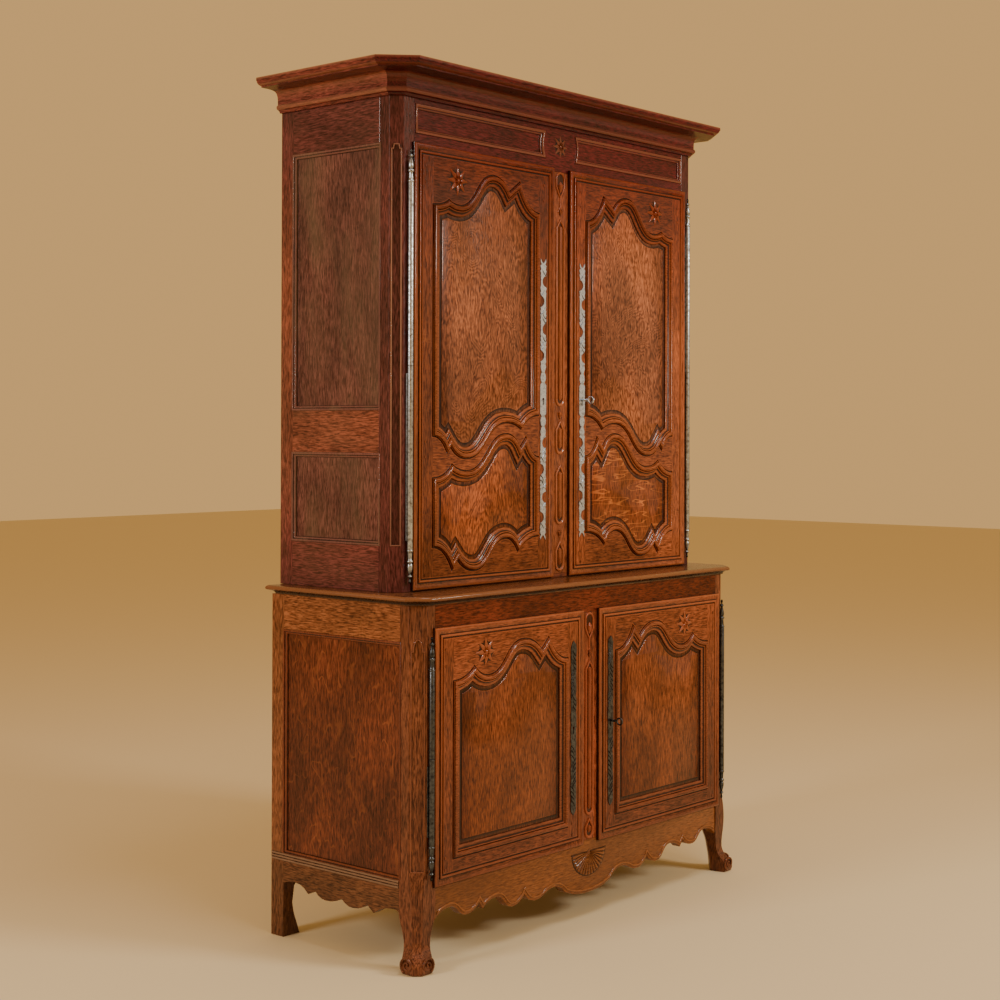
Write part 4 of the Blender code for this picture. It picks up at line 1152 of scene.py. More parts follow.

# Sections of mouldings: inset from the outline, and out from the face; a higher tone paints crests less pale
# as highlight and hollows darker as shade
LIP_SECTION = Section(
    (
        ((0.0345, 0.0), (0.0312, 0.0)),
        ((0.0312, 0.0), (0.0300, -0.0034), (0.0272, -0.0034)),
        ((0.0272, -0.0034), (0.0256, 0.0002), (0.0229, 0.0014), (0.0204, 0.0002), (0.0194, -0.0032)),
        ((0.0194, -0.0032), (0.0150, -0.0016), (0.0100, 0.0004), (0.0060, 0.0008)),
        ((0.0060, 0.0008), (0.0028, -0.0002), (0.0008, -0.0024), (0.0, -0.0060)),
        ((0.0, -0.0060), (0.0, -0.0105)),
        ((0.0, -0.0105), (0.011, -0.0105)),
        ((0.011, -0.0105), (0.011, -DOOR_THICKNESS)),
    ),
    tone=-0.2,
)
FRAME_SECTION = Section(
    (
        ((-0.0070, 0.0), (-0.0042, 0.0)),
        ((-0.0042, 0.0), (-0.0032, -0.0024), (-0.0008, -0.0024)),
        ((-0.0008, -0.0024), (0.0006, 0.0028)),
        ((0.0006, 0.0028), (0.0022, 0.0056), (0.0060, 0.0070), (0.0100, 0.0060), (0.0126, 0.0030)),
        ((0.0126, 0.0030), (0.0132, -0.0012)),
        ((0.0132, -0.0012), (0.0150, 0.0018), (0.0172, 0.0012), (0.0184, -0.0016)),
        ((0.0184, -0.0016), (0.0215, -0.0030), (0.0255, -0.0034), (0.0285, -0.0048), (0.0300, -0.0068)),
        ((0.0300, -0.0068), (0.0300, -0.0087)),
        ((0.0300, -0.0087), (0.0220, -0.0087)),
        ((0.0220, -0.0087), (0.0220, -0.0193)),
        ((0.0220, -0.0193), (0.0300, -0.0193)),
        ((0.0300, -0.0193), (0.0300, -DOOR_THICKNESS)),
    ),
    tone=0.22,
)
PANEL_SECTION = Section(
    (
        ((GROOVE, -PANEL_SINK - PANEL_THICKNESS), (GROOVE, -PANEL_SINK)),
        ((GROOVE, -PANEL_SINK), (0.0410, -0.0088)),
        ((0.0410, -0.0088), (0.0420, -0.0074), (0.0438, -0.0066)),
    )
)
SIDE_SECTION = Section(
    (
        ((-0.0050, 0.0002), (-0.0036, 0.0014), (-0.0012, 0.0016), (0.0010, 0.0006)),
        ((0.0010, 0.0006), (0.0016, -0.0014)),
        ((0.0016, -0.0014), (0.0046, -0.0022), (0.0078, -0.0050), (0.0092, -0.0088)),
        ((0.0092, -0.0088), (0.0004, -0.0088)),
        ((0.0004, -0.0088), (-0.0050, 0.0002)),
    )
)
FRIEZE_SECTION = Section(
    (
        ((-0.0084, 0.0002), (-0.0064, 0.0030), (-0.0030, 0.0034), (0.0004, 0.0012)),
        ((0.0004, 0.0012), (0.0012, -0.0014)),
        ((0.0012, -0.0014), (0.0038, -0.0020), (0.0066, -0.0036), (0.0080, -0.0058)),
        ((0.0080, -0.0058), (0.0004, -0.0058)),
        ((0.0004, -0.0058), (-0.0084, 0.0002)),
    ),
    tone=-0.15,
)
BEAD_SECTION = Section(
    (
        ((0.0, -0.0005), (0.0, 0.0002)),
        ((0.0, 0.0002), (0.0008, 0.0014), (0.0018, 0.0018), (0.0028, 0.0014), (0.0036, 0.0002)),
        ((0.0036, 0.0002), (0.0036, -0.0032)),
        ((0.0036, -0.0032), (0.0, -0.0005)),
    )
)


@dataclass(frozen=True)
class Rosette:
    """A carved star of pointed petals round a button, seen from the front."""

    radius: float
    petals: int = 8
    rise: float = 0.011

    def petal(self) -> Piece:
        """Returns:
            One long petal along +X from the middle, with a ridge down it.
        """
        bpy.ops.object.select_all(action="DESELECT")
        wide, length, root = (self.radius * share for share in (0.19, 0.56, 0.36))
        bpy.ops.mesh.primitive_cone_add(vertices=6, radius1=wide, radius2=wide * 0.22, depth=length)
        made = latest()
        edited(made)
        bpy.ops.mesh.select_all(action="DESELECT")
        mesh = bmesh.from_edit_mesh(made.data)
        for face in mesh.faces:
            face.select_set(len(face.verts) > 4 and face.normal.z < 0)
        bmesh.update_edit_mesh(made.data)
        bpy.ops.mesh.extrude_region_move(TRANSFORM_OT_translate={"value": (0.0, 0.0, -root)})
        bpy.ops.mesh.merge(type="CENTER")
        bpy.ops.mesh.select_all(action="SELECT")
        bpy.ops.mesh.normals_make_consistent(inside=False)
        bpy.ops.object.mode_set(mode="OBJECT")
        turn = Matrix.Rotation(QUARTER, 4, "Y")
        flat = Matrix.Diagonal((1.0, self.rise / wide * 0.62, 1.0, 1.0))
        settle(made, flat @ Matrix.Translation((self.radius * 0.68, 0.0, 0.0)) @ turn)
        return made

    def build(self, name: str, place: Vector) -> Piece:
        """Args:
            name: the piece's name.
            place: the middle of its back.

        Returns:
            The rosette.
        """
        first = self.petal()
        turns = [Matrix.Rotation(2 * math.pi * i / self.petals, 4, "Y") for i in range(self.petals)]
        halfway = Matrix.Rotation(math.pi / self.petals, 4, "Y")
        small = Matrix.Diagonal((0.50, 1.5, 0.50, 1.0))
        wider = Matrix.Diagonal((1.06, 0.42, 2.1, 1.0))
        parts = [first, *(copied(first, turn) for turn in turns[1:])]
        parts += [copied(first, turn @ halfway @ small) for turn in turns]
        bpy.ops.mesh.primitive_uv_sphere_add(segments=16, ring_count=8, radius=self.radius * 0.2)
        parts.append(latest())
        settle(parts[-1], Matrix.Diagonal((1.0, 0.9, 1.0, 1.0)))
        # A dark disc and wide dark copies of the petals lie under them: painted shade round the petals
        bpy.ops.mesh.primitive_cylinder_add(vertices=32, radius=self.radius * 0.62, depth=0.0032)
        painted_shade_grounds = [latest()]
        settle(painted_shade_grounds[0], Matrix.Rotation(QUARTER, 4, "X"))
        painted_shade_grounds += [copied(first, turn @ wider) for turn in turns]
        # Petals and button are painted pale as highlighted crests, what lies under them dark as shade
        shaded = [*(worn(part, 0.85) for part in parts), *(worn(part, -0.9) for part in painted_shade_grounds)]
        made = joined(name, shaded, 50.0)
        settle(made, Matrix.Translation(place))
        return made


# Shares of the serpentine panel edges, as in the part: inwards, up, and True where the line runs level
TALL_TOP = (
    (0.000, 0.000, True), (0.138, 0.038, False), (0.234, 0.013, True), (0.552, 0.232, True),
    (0.702, 0.145, False), (0.806, 0.218, False), (1.000, 0.038, True),
)
TALL_BOTTOM = (
    (0.000, 0.000, True), (0.127, -0.100, False), (0.156, -0.062, False), (0.301, -0.138, True),
    (0.679, 0.085, True), (0.824, 0.045, False), (1.000, 0.134, True),
)
SHORT_TOP = (
    (0.000, 0.000, True), (0.171, 0.082, False), (0.307, 0.040, True), (0.682, 0.269, True),
    (0.815, 0.183, False), (0.875, 0.247, False), (1.000, 0.120, True),
)
SHORT_BOTTOM = (
    (0.000, 0.000, True), (0.174, -0.145, False), (0.223, -0.085, False), (0.379, -0.160, True),
    (0.675, 0.027, True), (0.797, -0.062, False), (1.000, 0.027, True),
)
LOWER_TOP = (
    (0.000, 0.000, True), (0.171, 0.066, False), (0.293, 0.004, True), (0.591, 0.180, True),
    (0.756, 0.103, False), (0.822, 0.169, False), (1.000, 0.031, True),
)
LOWER_BOTTOM = ((0.000, 0.000, False), (1.000, 0.000, False))
PanelEdge = tuple[float, Sequence[FlowPoint]]
PANEL_OAKS = {"panel": LOWER_PANEL_OAK, "tall_panel": TALL_PANEL_OAK, "short_panel": SHORT_PANEL_OAK}


@dataclass(frozen=True)
class DoorLeaf:
    """One door: moulded frame, fielded panels, rosette, pegs and its pierced plate."""

    stage: Stage
    side: Side
    peg_radius: float = 0.0042
    peg_length: float = 0.0032

    @property
    def name(self) -> str:
        """The start of the door's node names, which is also its body."""
        return f"{self.stage.name}_{self.side.label}_door"

    @property
    def plane(self) -> Plane:
        """The face of the door's frame."""
        return front_plane(self.stage.face)

    def opening(self, top: PanelEdge, bottom: PanelEdge) -> list[Point]:
        """Args:
            top: height at the hinge side and shares of the top edge.
            bottom: the same for the bottom edge.

        Returns:
            A panel opening's outline.
        """
        width = self.stage.panel_outer - self.stage.panel_inner
        edges = []
        for height, shares in (top, bottom):
            line = flowing([(width * x, width * z, level) for x, z, level in shares])
            edges.append([(self.side.value * (self.stage.panel_outer - x), height + z) for x, z in line])
        return edges[0] + edges[1][::-1]

    def openings(self) -> dict[str, list[Point]]:
        """Returns:
            The outline of each panel's opening, by the panel's name.
        """
        if self.stage is LOWER:
            return {"panel": self.opening((0.750, LOWER_TOP), (0.283, LOWER_BOTTOM))}
        return {
            "tall_panel": self.opening((2.030, TALL_TOP), (1.402, TALL_BOTTOM)),
            "short_panel": self.opening((1.285, SHORT_TOP), (1.100, SHORT_BOTTOM)),
        }

    def lip(self) -> list[Point]:
        """Returns:
            The edge of the door's lip.
        """
        near, far = self.stage.centre - DOOR_LIP, self.stage.opening + DOOR_LIP
        heights = (self.stage.sill - DOOR_LIP, self.stage.head + DOOR_LIP)
        return rectangle((self.side.value * near, self.side.value * far), heights)

    def keyhole(self) -> list[Point]:
        """Returns:
            The edge of the keyhole.
        """
        x, z = self.side.value * self.stage.key_x, self.stage.key_z
        turns = [2 * math.pi * i / 16 for i in range(16)]
        return [(x + KEYHOLE_RADIUS * math.cos(t), z + KEYHOLE_RADIUS * math.sin(t)) for t in turns]

    def frame(self) -> Piece:
        """Returns:
            The frame with its lip, panel mouldings and grooves in one mesh.
        """
        draft = Draft()
        sections = [(self.lip(), LIP_SECTION)]
        sections += [(outline, FRAME_SECTION) for outline in self.openings().values()]
        fronts = []
        backs = []
        for outline, section in sections:
            rows = draft.ring(self.plane, outline, section.stations())
            fronts.append(rows[0])
            backs.append(rows[-1])
        depths = (0.0, -DOOR_THICKNESS)
        hole = [draft.row(self.plane.at(x, z, out) for x, z in self.keyhole()) for out in depths]
        draft.skin(hole)
        draft.flat(*fronts, hole[0])
        draft.flat(*backs, hole[1])
        return draft.piece(f"{self.name}_frame_look")

    def panel(self, name: str, outline: Sequence[Point]) -> Piece:
        """Args:
            name: the panel's name.
            outline: its opening.

        Returns:
            The panel with a field raised inside its edge.
        """
        draft = Draft()
        draft.caps(draft.ring(self.plane, outline, PANEL_SECTION.stations()))
        return draft.piece(f"{self.name}_{name}_look", 50.0)

    def rosette(self) -> Piece:
        """Returns:
            The star carved in the top rail.
        """
        x, z, radius = (0.465, 2.105, 0.043) if self.stage is UPPER else (0.470, 0.817, 0.041)
        place = self.plane.at(self.side.value * x, z, -0.001)
        return Rosette(radius).build(f"{self.name}_rosette", place)

    def pegs(self) -> Piece:
        """Returns:
            The ends of the pegs that hold the joints.
        """
        stage = self.stage
        low, high = stage.sill, stage.head
        heights = [low + 0.030, low + 0.062, high - 0.050, high - 0.095]
        if stage is UPPER:
            heights += [1.345, 1.385]
        parts = []
        for x in (stage.panel_outer + 0.030, stage.panel_inner - 0.024):
            for z in heights:
                if abs(z - stage.key_z) > stage.plate / 2 + 0.02 or x > stage.panel_inner:
                    bpy.ops.mesh.primitive_cylinder_add(
                        vertices=10, radius=self.peg_radius, depth=self.peg_length
                    )
                    parts.append(latest())
                    spot = Matrix.Translation(self.plane.at(self.side.value * x, z, -0.0006))
                    settle(parts[-1], spot @ Matrix.Rotation(QUARTER, 4, "X"))
        return joined(f"{self.name}_pegs", parts)

    def build(self) -> None:
        """Builds the door's woodwork and its plate."""
        oak = UPPER_DOOR_OAK if self.stage is UPPER else LOWER_DOOR_OAK
        WORKSHOP.fit(self.frame(), oak, self.name, f"{self.name}_frame")
        for name, outline in self.openings().items():
            quartered = name == "short_panel" and self.side is Side.RIGHT
            finish = FLECKED_OAK if quartered else PANEL_OAKS[name]
            WORKSHOP.fit(self.panel(name, outline), finish, self.name, f"{self.name}_{name}")
        WORKSHOP.fit(self.rosette(), oak, self.name)
        WORKSHOP.fit(self.pegs(), oak, self.name)
        Escutcheon(self.stage, self.side).build()


# Open scrolls of the upper plates (middle, half length, 0 at the left or 1 at the right), the leaves between
# them, and the half widths of the knops next to the keyhole; all heights are from the keyhole
SCROLLS = ((0.127, 0.0160, 0), (0.204, 0.0165, 1), (0.286, 0.0165, 0), (0.344, 0.0165, 1))
LEAVES = ((0.142, 0.182), (0.222, 0.262), (0.302, 0.322), (0.361, 0.378))
KNOPS = (
    (0.000, 0.0135), (0.022, 0.0131), (0.040, 0.0137), (0.046, 0.0100), (0.049, 0.0058), (0.054, 0.0100),
    (0.063, 0.0124), (0.074, 0.0100), (0.079, 0.0056), (0.084, 0.0086), (0.094, 0.0124), (0.104, 0.0100),
    (0.110, 0.0130),
)
LOWER_VEINS = (0.050, 0.225)
VEIN_STEP = 0.0130
VEIN = ((-0.0104, 0.0), (-0.0030, 0.0060), (0.0050, 0.0180))
# Plates are drawn on this face, with the keyhole at its origin
BENCH = Plane(Vector((0.0, 0.0, 0.0)), Vector((1.0, 0.0, 0.0)), Vector((0.0, 1.0, 0.0)))


@dataclass(frozen=True)
class Escutcheon:
    """A long plate round the keyhole: open scrolls and leaves on upper doors, scallops on lower ones."""

    stage: Stage
    side: Side
    thickness: float = 0.0018
    fork: float = 0.020
    step: float = 0.0028

    def sides(self, height: float) -> Point:
        """Args:
            height: distance from the keyhole.

        Returns:
            How far the plate reaches to its left and right there, before its forked end.
        """
        if self.stage is LOWER:
            scallop = 0.0030 * abs(math.sin(math.pi * (height - 0.040) / 0.052)) if height > 0.040 else 0.0030
            return 0.0115, 0.0095 + scallop
        if height < KNOPS[-1][0]:
            after = next(i for i, (start, _) in enumerate(KNOPS) if start > height)
            (low, first), (high, second) = KNOPS[after - 1], KNOPS[after]
            share = (height - low) / (high - low)
            wide = first + (second - first) * (3 - 2 * share) * share * share
            return wide, wide
        reach = [0.0102 + 0.0040 * (height / VEIN_STEP % 1.0)] * 2
        for middle, length, hand in SCROLLS:
            share = (height - middle) / length
            if abs(share) < 1.0:
                hollow = math.sqrt(1.0 - share * share)
                reach[hand] = 0.0134 - 0.0178 * hollow
                reach[1 - hand] = 0.0126 - 0.0012 * hollow
        return reach[0], reach[1]

    def half(self) -> list[Point]:
        """Returns:
            The outline of the half above the keyhole, from its right side over its end to its left side.
        """
        reach = self.stage.plate / 2
        rows = [i * self.step for i in range(int((reach - self.fork) / self.step) + 1)]
        right = [(self.sides(z)[1], z) for z in rows]
        left = [(-self.sides(z)[0], z) for z in reversed(rows)]
        if self.stage is LOWER:
            end = [
                (0.0100, reach - 0.010), (0.0040, reach - 0.004), (-0.0020, reach), (-0.0090, reach - 0.012),
            ]
        else:
            end = [
                (0.0080, reach - 0.016), (0.0125, reach - 0.008), (0.0118, reach), (0.0062, reach - 0.009),
                (0.0, reach - 0.014), (-0.0062, reach - 0.009), (-0.0118, reach), (-0.0125, reach - 0.008),
                (-0.0080, reach - 0.016),
            ]
        return right + end + left

    def keyhole(self) -> list[Point]:
        """Returns:
            The keyhole: round above, with a slot for the bit.
        """
        turns = [math.radians(-60 + 300 * i / 14) for i in range(15)]
        arc = [(KEYHOLE_RADIUS * math.cos(t), KEYHOLE_RADIUS * math.sin(t)) for t in turns]
        return [*arc, (-0.0020, -0.0170), (0.0020, -0.0170)]

    def plate(self) -> Piece:
        """Returns:
            The plate on the bench.
        """
        draft = Draft()
        above = self.half()
        loops = [above + [(-x, -z) for x, z in above[1:-1]], self.keyhole()]
        fronts = []
        backs = []
        for loop in loops:
            rows = [draft.row(BENCH.at(x, z, out) for x, z in loop) for out in (-self.thickness, 0.0)]
            draft.skin(rows)
            fronts.append(rows[0])
            backs.append(rows[1])
        draft.flat(*fronts)
        draft.flat(*backs)
        return draft.piece("plate")

    def chasing(self) -> list[Piece]:
        """Returns:
            A dark sheet at the bottom of the keyhole's slot as painted shade, dark veins on the leaves
            standing for engraved lines with painted shade and dirt, and bars across the knops.
        """
        slot = rectangle((-0.0026, 0.0026), (-0.0176, -0.0042))
        # The slot's sheet is painted dark: painted shade inside the keyhole
        lines = [slab("slot", BENCH, slot, (-0.0004, 0.0), -1.0)]
        upper = self.stage is UPPER
        for way in (1, -1):
            for start, end in LEAVES if upper else (LOWER_VEINS,):
                for i in range(int((end - start) / VEIN_STEP)):
                    low = start + VEIN_STEP * i
                    hand = 1 if int(low / 0.080) % 2 else -1
                    path = [BENCH.at(way * hand * x, way * (low + z), -self.thickness) for x, z in VEIN]
                    # Raised veins painted dark: the shade and dirt of engraved lines
                    lines.append(worn(ribbon(path, (0.0014, 0.0015, 0.0004)), -0.85))
            for height in (0.049, 0.079) if upper else ():
                bar = [BENCH.at(x, way * height, -self.thickness) for x in (-0.0056, 0.0, 0.0056)]
                lines.append(worn(ribbon(bar, (0.0014, 0.0018, 0.0014)), 0.0))
        return lines

    def build(self) -> None:
        """Builds the plate on its door."""
        name = f"{self.stage.name}_{self.side.label}"
        made = joined(f"{name}_plate", [self.plate(), *self.chasing()])
        place = Vector((self.side.value * self.stage.key_x, y_at(self.stage.face + GAP), self.stage.key_z))
        settle(made, Matrix.Translation(place) @ Matrix.Diagonal((-self.side.value, 1.0, 1.0, 1.0)))
        if self.side is Side.RIGHT:
            made.data.flip_normals()
        finish = STEEL if self.stage is UPPER else IRON
        WORKSHOP.fit(made, finish, f"{name}_door", f"{name}_escutcheon")


@dataclass(frozen=True)
class Hinge:
    """A long barrel hinge with turned finials: the pin half on the post, the bored half on the door."""

    stage: Stage
    side: Side
    finial: float = 0.095
    past_lip: float = 0.014
    margin: float = 0.012
    leaf_depth: float = 0.0075
    leaf_thickness: float = 0.0024

    def profile(self, tip: float, towards: int, end: float) -> list[Point]:
        """Args:
            tip: height of the finial's tip.
            towards: 1 if the barrel lies above the tip, -1 if below.
            end: height of the barrel's end.

        Returns:
            (radius, height) points from the tip to the axis at the barrel's end.
        """
        shares = (
            (0.00, 0.00), (0.015, 0.28), (0.04, 0.42), (0.07, 0.45), (0.10, 0.36), (0.125, 0.24),
            (0.15, 0.30), (0.17, 0.62), (0.20, 0.80), (0.23, 0.62), (0.25, 0.42), (0.28, 0.46),
            (0.36, 0.72), (0.44, 0.92), (0.50, 0.95), (0.55, 0.80), (0.57, 0.60), (0.59, 0.95),
            (0.62, 1.08), (0.65, 0.95), (0.67, 0.72), (0.70, 0.70), (0.82, 0.80), (0.88, 0.86),
            (0.895, 1.04), (0.92, 1.12), (0.945, 1.04), (0.955, 0.92), (0.97, 1.00),
        )
        points = [(BARREL_RADIUS * wide, tip + towards * self.finial * share) for share, wide in shares]
        return [*points, (BARREL_RADIUS, end - towards * 0.0010), (BARREL_RADIUS - 0.0010, end), (0.0, end)]

    def leaf(self, x: Point, z: Point) -> Piece:
        """Args:
            x: its sides, outwards from the middle of the cupboard.
            z: its foot and head.

        Returns:
            The flat leaf that joins the barrel to the wood.
        """
        bpy.ops.mesh.primitive_cube_add(size=1.0)
        made = latest()
        y = y_at(self.stage.face - self.leaf_depth)
        spot = Matrix.Translation((self.side.value * (x[0] + x[1]) / 2, y, (z[0] + z[1]) / 2))
        settle(made, spot @ Matrix.Diagonal((x[1] - x[0], self.leaf_thickness, z[1] - z[0], 1.0)))
        return made

    def build(self) -> None:
        """Builds both halves."""
        stage = self.stage
        out = stage.opening + DOOR_LIP + self.past_lip
        axis = Matrix.Translation((self.side.value * out, y_at(stage.face - 0.001), 0.0))
        low, high = stage.sill + self.margin, stage.head - self.margin
        middle = (low + high) / 2
        finish = BARREL_STEEL if stage is UPPER else IRON
        halves = (
            ("hinge_post_half", self.profile(low, 1, middle), "carcass"),
            ("hinge_door_half", self.profile(high, -1, middle + GAP), f"{stage.name}_{self.side.label}_door"),
        )
        for label, profile, body in halves:
            name = f"{stage.name}_{self.side.label}_{label}"
            barrel = turned(f"{name}_look", profile)
            # The grooves between the knops are painted dark as shade
            radii = [vertex.co.xy.length / BARREL_RADIUS for vertex in barrel.data.vertices]
            groove_shade = [min(0.0, 2.2 * (radius - 0.8)) for radius in radii]
            worn(barrel, 0.0).data.attributes["wear"].data.foreach_set("value", groove_shade)
            settle(barrel, axis)
            if body == "carcass":
                leaf = self.leaf((out, out + 0.009), (low + self.finial + 0.02, middle - 0.02))
            else:
                leaf = self.leaf((out - 0.020, out), (middle + 0.02, high - self.finial - 0.02))
            WORKSHOP.fit(joined(f"{name}_look", [barrel, leaf]), finish, body, name)


@dataclass(frozen=True)
class KeyAndLock:
    """A key with a ring bow, and the lock case and bolt behind the right-hand door."""

    stage: Stage
    bow_radius: float = 0.0095
    bow_wire: float = 0.0025
    bow_middle: float = 0.0121
    bow_length: float = 0.0205
    bit_thickness: float = 0.0025
    bit_length: float = 0.0080

    def build(self) -> None:
        """Builds the key and dresses the lock."""
        stage = self.stage
        finish = STEEL if stage is UPPER else IRON
        name = f"{stage.name}_key"
        low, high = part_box(name)
        tip = low[1]
        length = high[1] - tip
        shaft = [
            (0.0, 0.0), (0.0020, 0.0), (0.0028, 0.0012), (0.0028, 0.0030), (0.0046, 0.0040), (0.0046, 0.0062),
            (0.0034, 0.0072), (0.0031, 0.0140), (0.0044, 0.0152), (0.0044, 0.0168), (0.0034, 0.0180),
            (0.0034, length - self.bow_length), (0.0, length - self.bow_length),
        ]
        stem = turned(f"{name}_stem", shaft, 16)
        x, z = stage.key_x, stage.key_z
        settle(stem, Matrix.Translation((x, tip + self.bow_length, z)) @ Matrix.Rotation(-QUARTER, 4, "X"))
        bpy.ops.mesh.primitive_torus_add(
            major_radius=self.bow_radius, minor_radius=self.bow_wire, major_segments=32, minor_segments=12
        )
        bow = latest()
        settle(bow, Matrix.Translation((x, tip + self.bow_middle, z)) @ Matrix.Rotation(QUARTER, 4, "Y"))
        bpy.ops.mesh.primitive_cube_add(size=1.0)
        bit = latest()
        middle = Matrix.Translation((x, high[1] - 0.0060, (low[2] + z) / 2))
        settle(bit, middle @ Matrix.Diagonal((self.bit_thickness, self.bit_length, z - low[2], 1.0)))
        WORKSHOP.fit(joined(f"{name}_look", [stem, bow, bit]), finish, name, name)
        WORKSHOP.keep(IRON, f"{stage.name}_lock_case", f"{stage.name}_lock_bolt")


@dataclass(frozen=True)
class Corner:
    """A lower front post: canted corner with a sunk arched panel, cabriole leg and scrolled toe."""

    side: Side
    foot: float = 0.150
    upper_sunk: Point = (1.110, 2.180)

    def prism_plan(self) -> list[Vector]:
        """Returns:
            The post's plan.
        """
        stage = LOWER
        back = stage.front - stage.post_depth
        plan = [
            (stage.opening, back), (stage.half_width, back), (stage.half_width, stage.side_depth),
            (stage.half_width - stage.cant, stage.front), (stage.opening, stage.front),
        ]
        return [Vector((self.side.value * x, y_at(depth), 0.0)) for x, depth in plan]

    def post(self) -> Piece:
        """Returns:
            The post above the leg, with the panel sunk in its canted corner.
        """
        draft = Draft()
        rows = []
        for z in (self.foot, LOWER.top):
            rows.append(draft.row(point + Vector((0.0, 0.0, z)) for point in self.prism_plan()))
        draft.skin(rows)
        draft.caps(rows)
        made = draft.piece(f"lower_{self.side.label}_post_look", 20.0)
        helper = slab("arch_cutter", cant_plane(LOWER, self.side), self.arch(0.0), (-0.003, 0.010))
        hollow = made.modifiers.new("sunk_panel", "BOOLEAN")
        hollow.object = helper
        hollow.operation = "DIFFERENCE"
        take(made)
        bpy.ops.object.modifier_apply(modifier="sunk_panel")
        bpy.data.objects.remove(helper)
        ease = made.modifiers.new("eased", "BEVEL")
        ease.width = 0.0016
        ease.segments = 2
        ease.angle_limit = math.radians(40)
        bpy.ops.object.modifier_apply(modifier="eased")
        return made

    def arch(self, grow: float) -> list[Point]:
        """Args:
            grow: how far to widen it.

        Returns:
            The outline of the sunk panel: flat foot, shouldered arch above.
        """
        half = LOWER.cant / math.sqrt(2) - CANT_MARGIN + grow
        low, spring, top = 0.262 - grow, 0.838, 0.866 + grow
        turns = [math.pi * i / 12 for i in range(13)]
        head = [(half * 0.72 * math.cos(t), spring + (top - spring) * math.sin(t)) for t in turns]
        return [(-half, low), (half, low), (half, spring), *head, (-half, spring)]

    def leg(self) -> Piece:
        """Returns:
            The cabriole leg: flat to the front and the side, with a canted front edge.
        """
        # Height, reach out of the cant, half width of the front edge, half width, and depth behind the cant
        stations = (
            (0.262, 0.0003, 0.0238, 0.0460, 0.060), (0.248, 0.0042, 0.0200, 0.0459, 0.060),
            (0.225, 0.0092, 0.0175, 0.0471, 0.060), (0.195, 0.0125, 0.0160, 0.0480, 0.060),
            (0.165, 0.0130, 0.0150, 0.0478, 0.060), (0.142, 0.0116, 0.0145, 0.0468, 0.058),
            (0.122, 0.0095, 0.0140, 0.0430, 0.051), (0.106, 0.0078, 0.0135, 0.0390, 0.045),
            (0.090, 0.0068, 0.0130, 0.0360, 0.041), (0.072, 0.0085, 0.0125, 0.0342, 0.038),
            (0.056, 0.0165, 0.0120, 0.0352, 0.035), (0.042, 0.0285, 0.0125, 0.0385, 0.033),
            (0.026, 0.0390, 0.0135, 0.0405, 0.031), (0.012, 0.0410, 0.0140, 0.0405, 0.030),
            (0.003, 0.0375, 0.0130, 0.0385, 0.028), (0.000, 0.0345, 0.0120, 0.0365, 0.028),
        )
        plane = cant_plane(LOWER, self.side)
        draft = Draft()
        rows = []
        for z, reach, edge, half, behind in smoothed(stations, 4):
            right = [(edge, reach), (half, reach - (half - edge)), (half * 0.3, -behind)]
            outline = right + [(-a, o) for a, o in right[::-1]]
            rows.append(draft.row(plane.at(a, max(z, 0.0), o) for a, o in outline))
        draft.skin(rows)
        draft.caps(rows)
        return draft.piece("leg", 26.0)

    def volutes(self) -> list[Piece]:
        """Returns:
            The spirals on the two faces of the toe.
        """
        plane = cant_plane(LOWER, self.side)
        middle, height, out = 0.0275, 0.0265, 0.0274
        ribs = []
        for hand in (-1, 1):
            path = []
            radii = []
            for i in range(34):
                share = i / 33
                angle = math.radians(-60 + 610 * share)
                reach = 0.0195 * (1 - share) + 0.0030
                slide = 0.72 * reach * math.cos(angle)
                spot = (hand * (middle + slide), height + reach * math.sin(angle), out - slide)
                path.append(plane.at(*spot))
                radii.append(0.0038 - 0.0014 * share)
            ribs.append(ribbon(path, radii))
        return ribs

    def build(self) -> None:
        """Builds the post, its leg and the bead round the sunk panel."""
        name = f"lower_{self.side.label}_front_post"
        made = joined(f"lower_{self.side.label}_corner", [self.post(), self.leg(), *self.volutes()], 30.0)
        WORKSHOP.fit(made, LOWER_POST_OAK, "carcass", name)
        draft = Draft()
        draft.ring(cant_plane(LOWER, self.side), self.arch(BEAD_WIDTH), BEAD_SECTION.stations())
        WORKSHOP.fit(draft.piece(f"lower_{self.side.label}_cant_bead"), LOWER_POST_OAK, "carcass")
        self.upper_bead()

    def upper_bead(self) -> None:
        """Builds the bead round the sunk panel of the upper post, which keeps its CAD shape."""
        inner = UPPER.cant / math.sqrt(2) - CANT_MARGIN
        half = inner + BEAD_WIDTH
        foot, head = self.upper_sunk
        low, high = foot - BEAD_WIDTH, head + BEAD_WIDTH
        draft = Draft()
        ear = high - 0.012
        outline = [
            (-half, low), (half, low), (half, ear), (half * 0.70, ear), (half * 0.52, high),
            (-half * 0.52, high), (-half * 0.70, ear), (-half, ear),
        ]
        plane = cant_plane(UPPER, self.side)
        draft.ring(plane, outline, BEAD_SECTION.stations())
        # The bead is painted pale: a painted highlight on a polished arris
        bead = worn(draft.piece("bead"), 1.0)
        sunk = rectangle((-inner, inner), (foot + 0.0002, head - 0.0002))
        # A dark sheet in the sunk panel: painted shade
        field = slab("field", plane, sunk, (-0.0034, -0.0022), -0.42)
        WORKSHOP.fit(joined(f"upper_{self.side.label}_cant_bead", [bead, field], 32.0), POST_OAK, "carcass")
        WORKSHOP.keep(POST_OAK, f"upper_{self.side.label}_front_post")


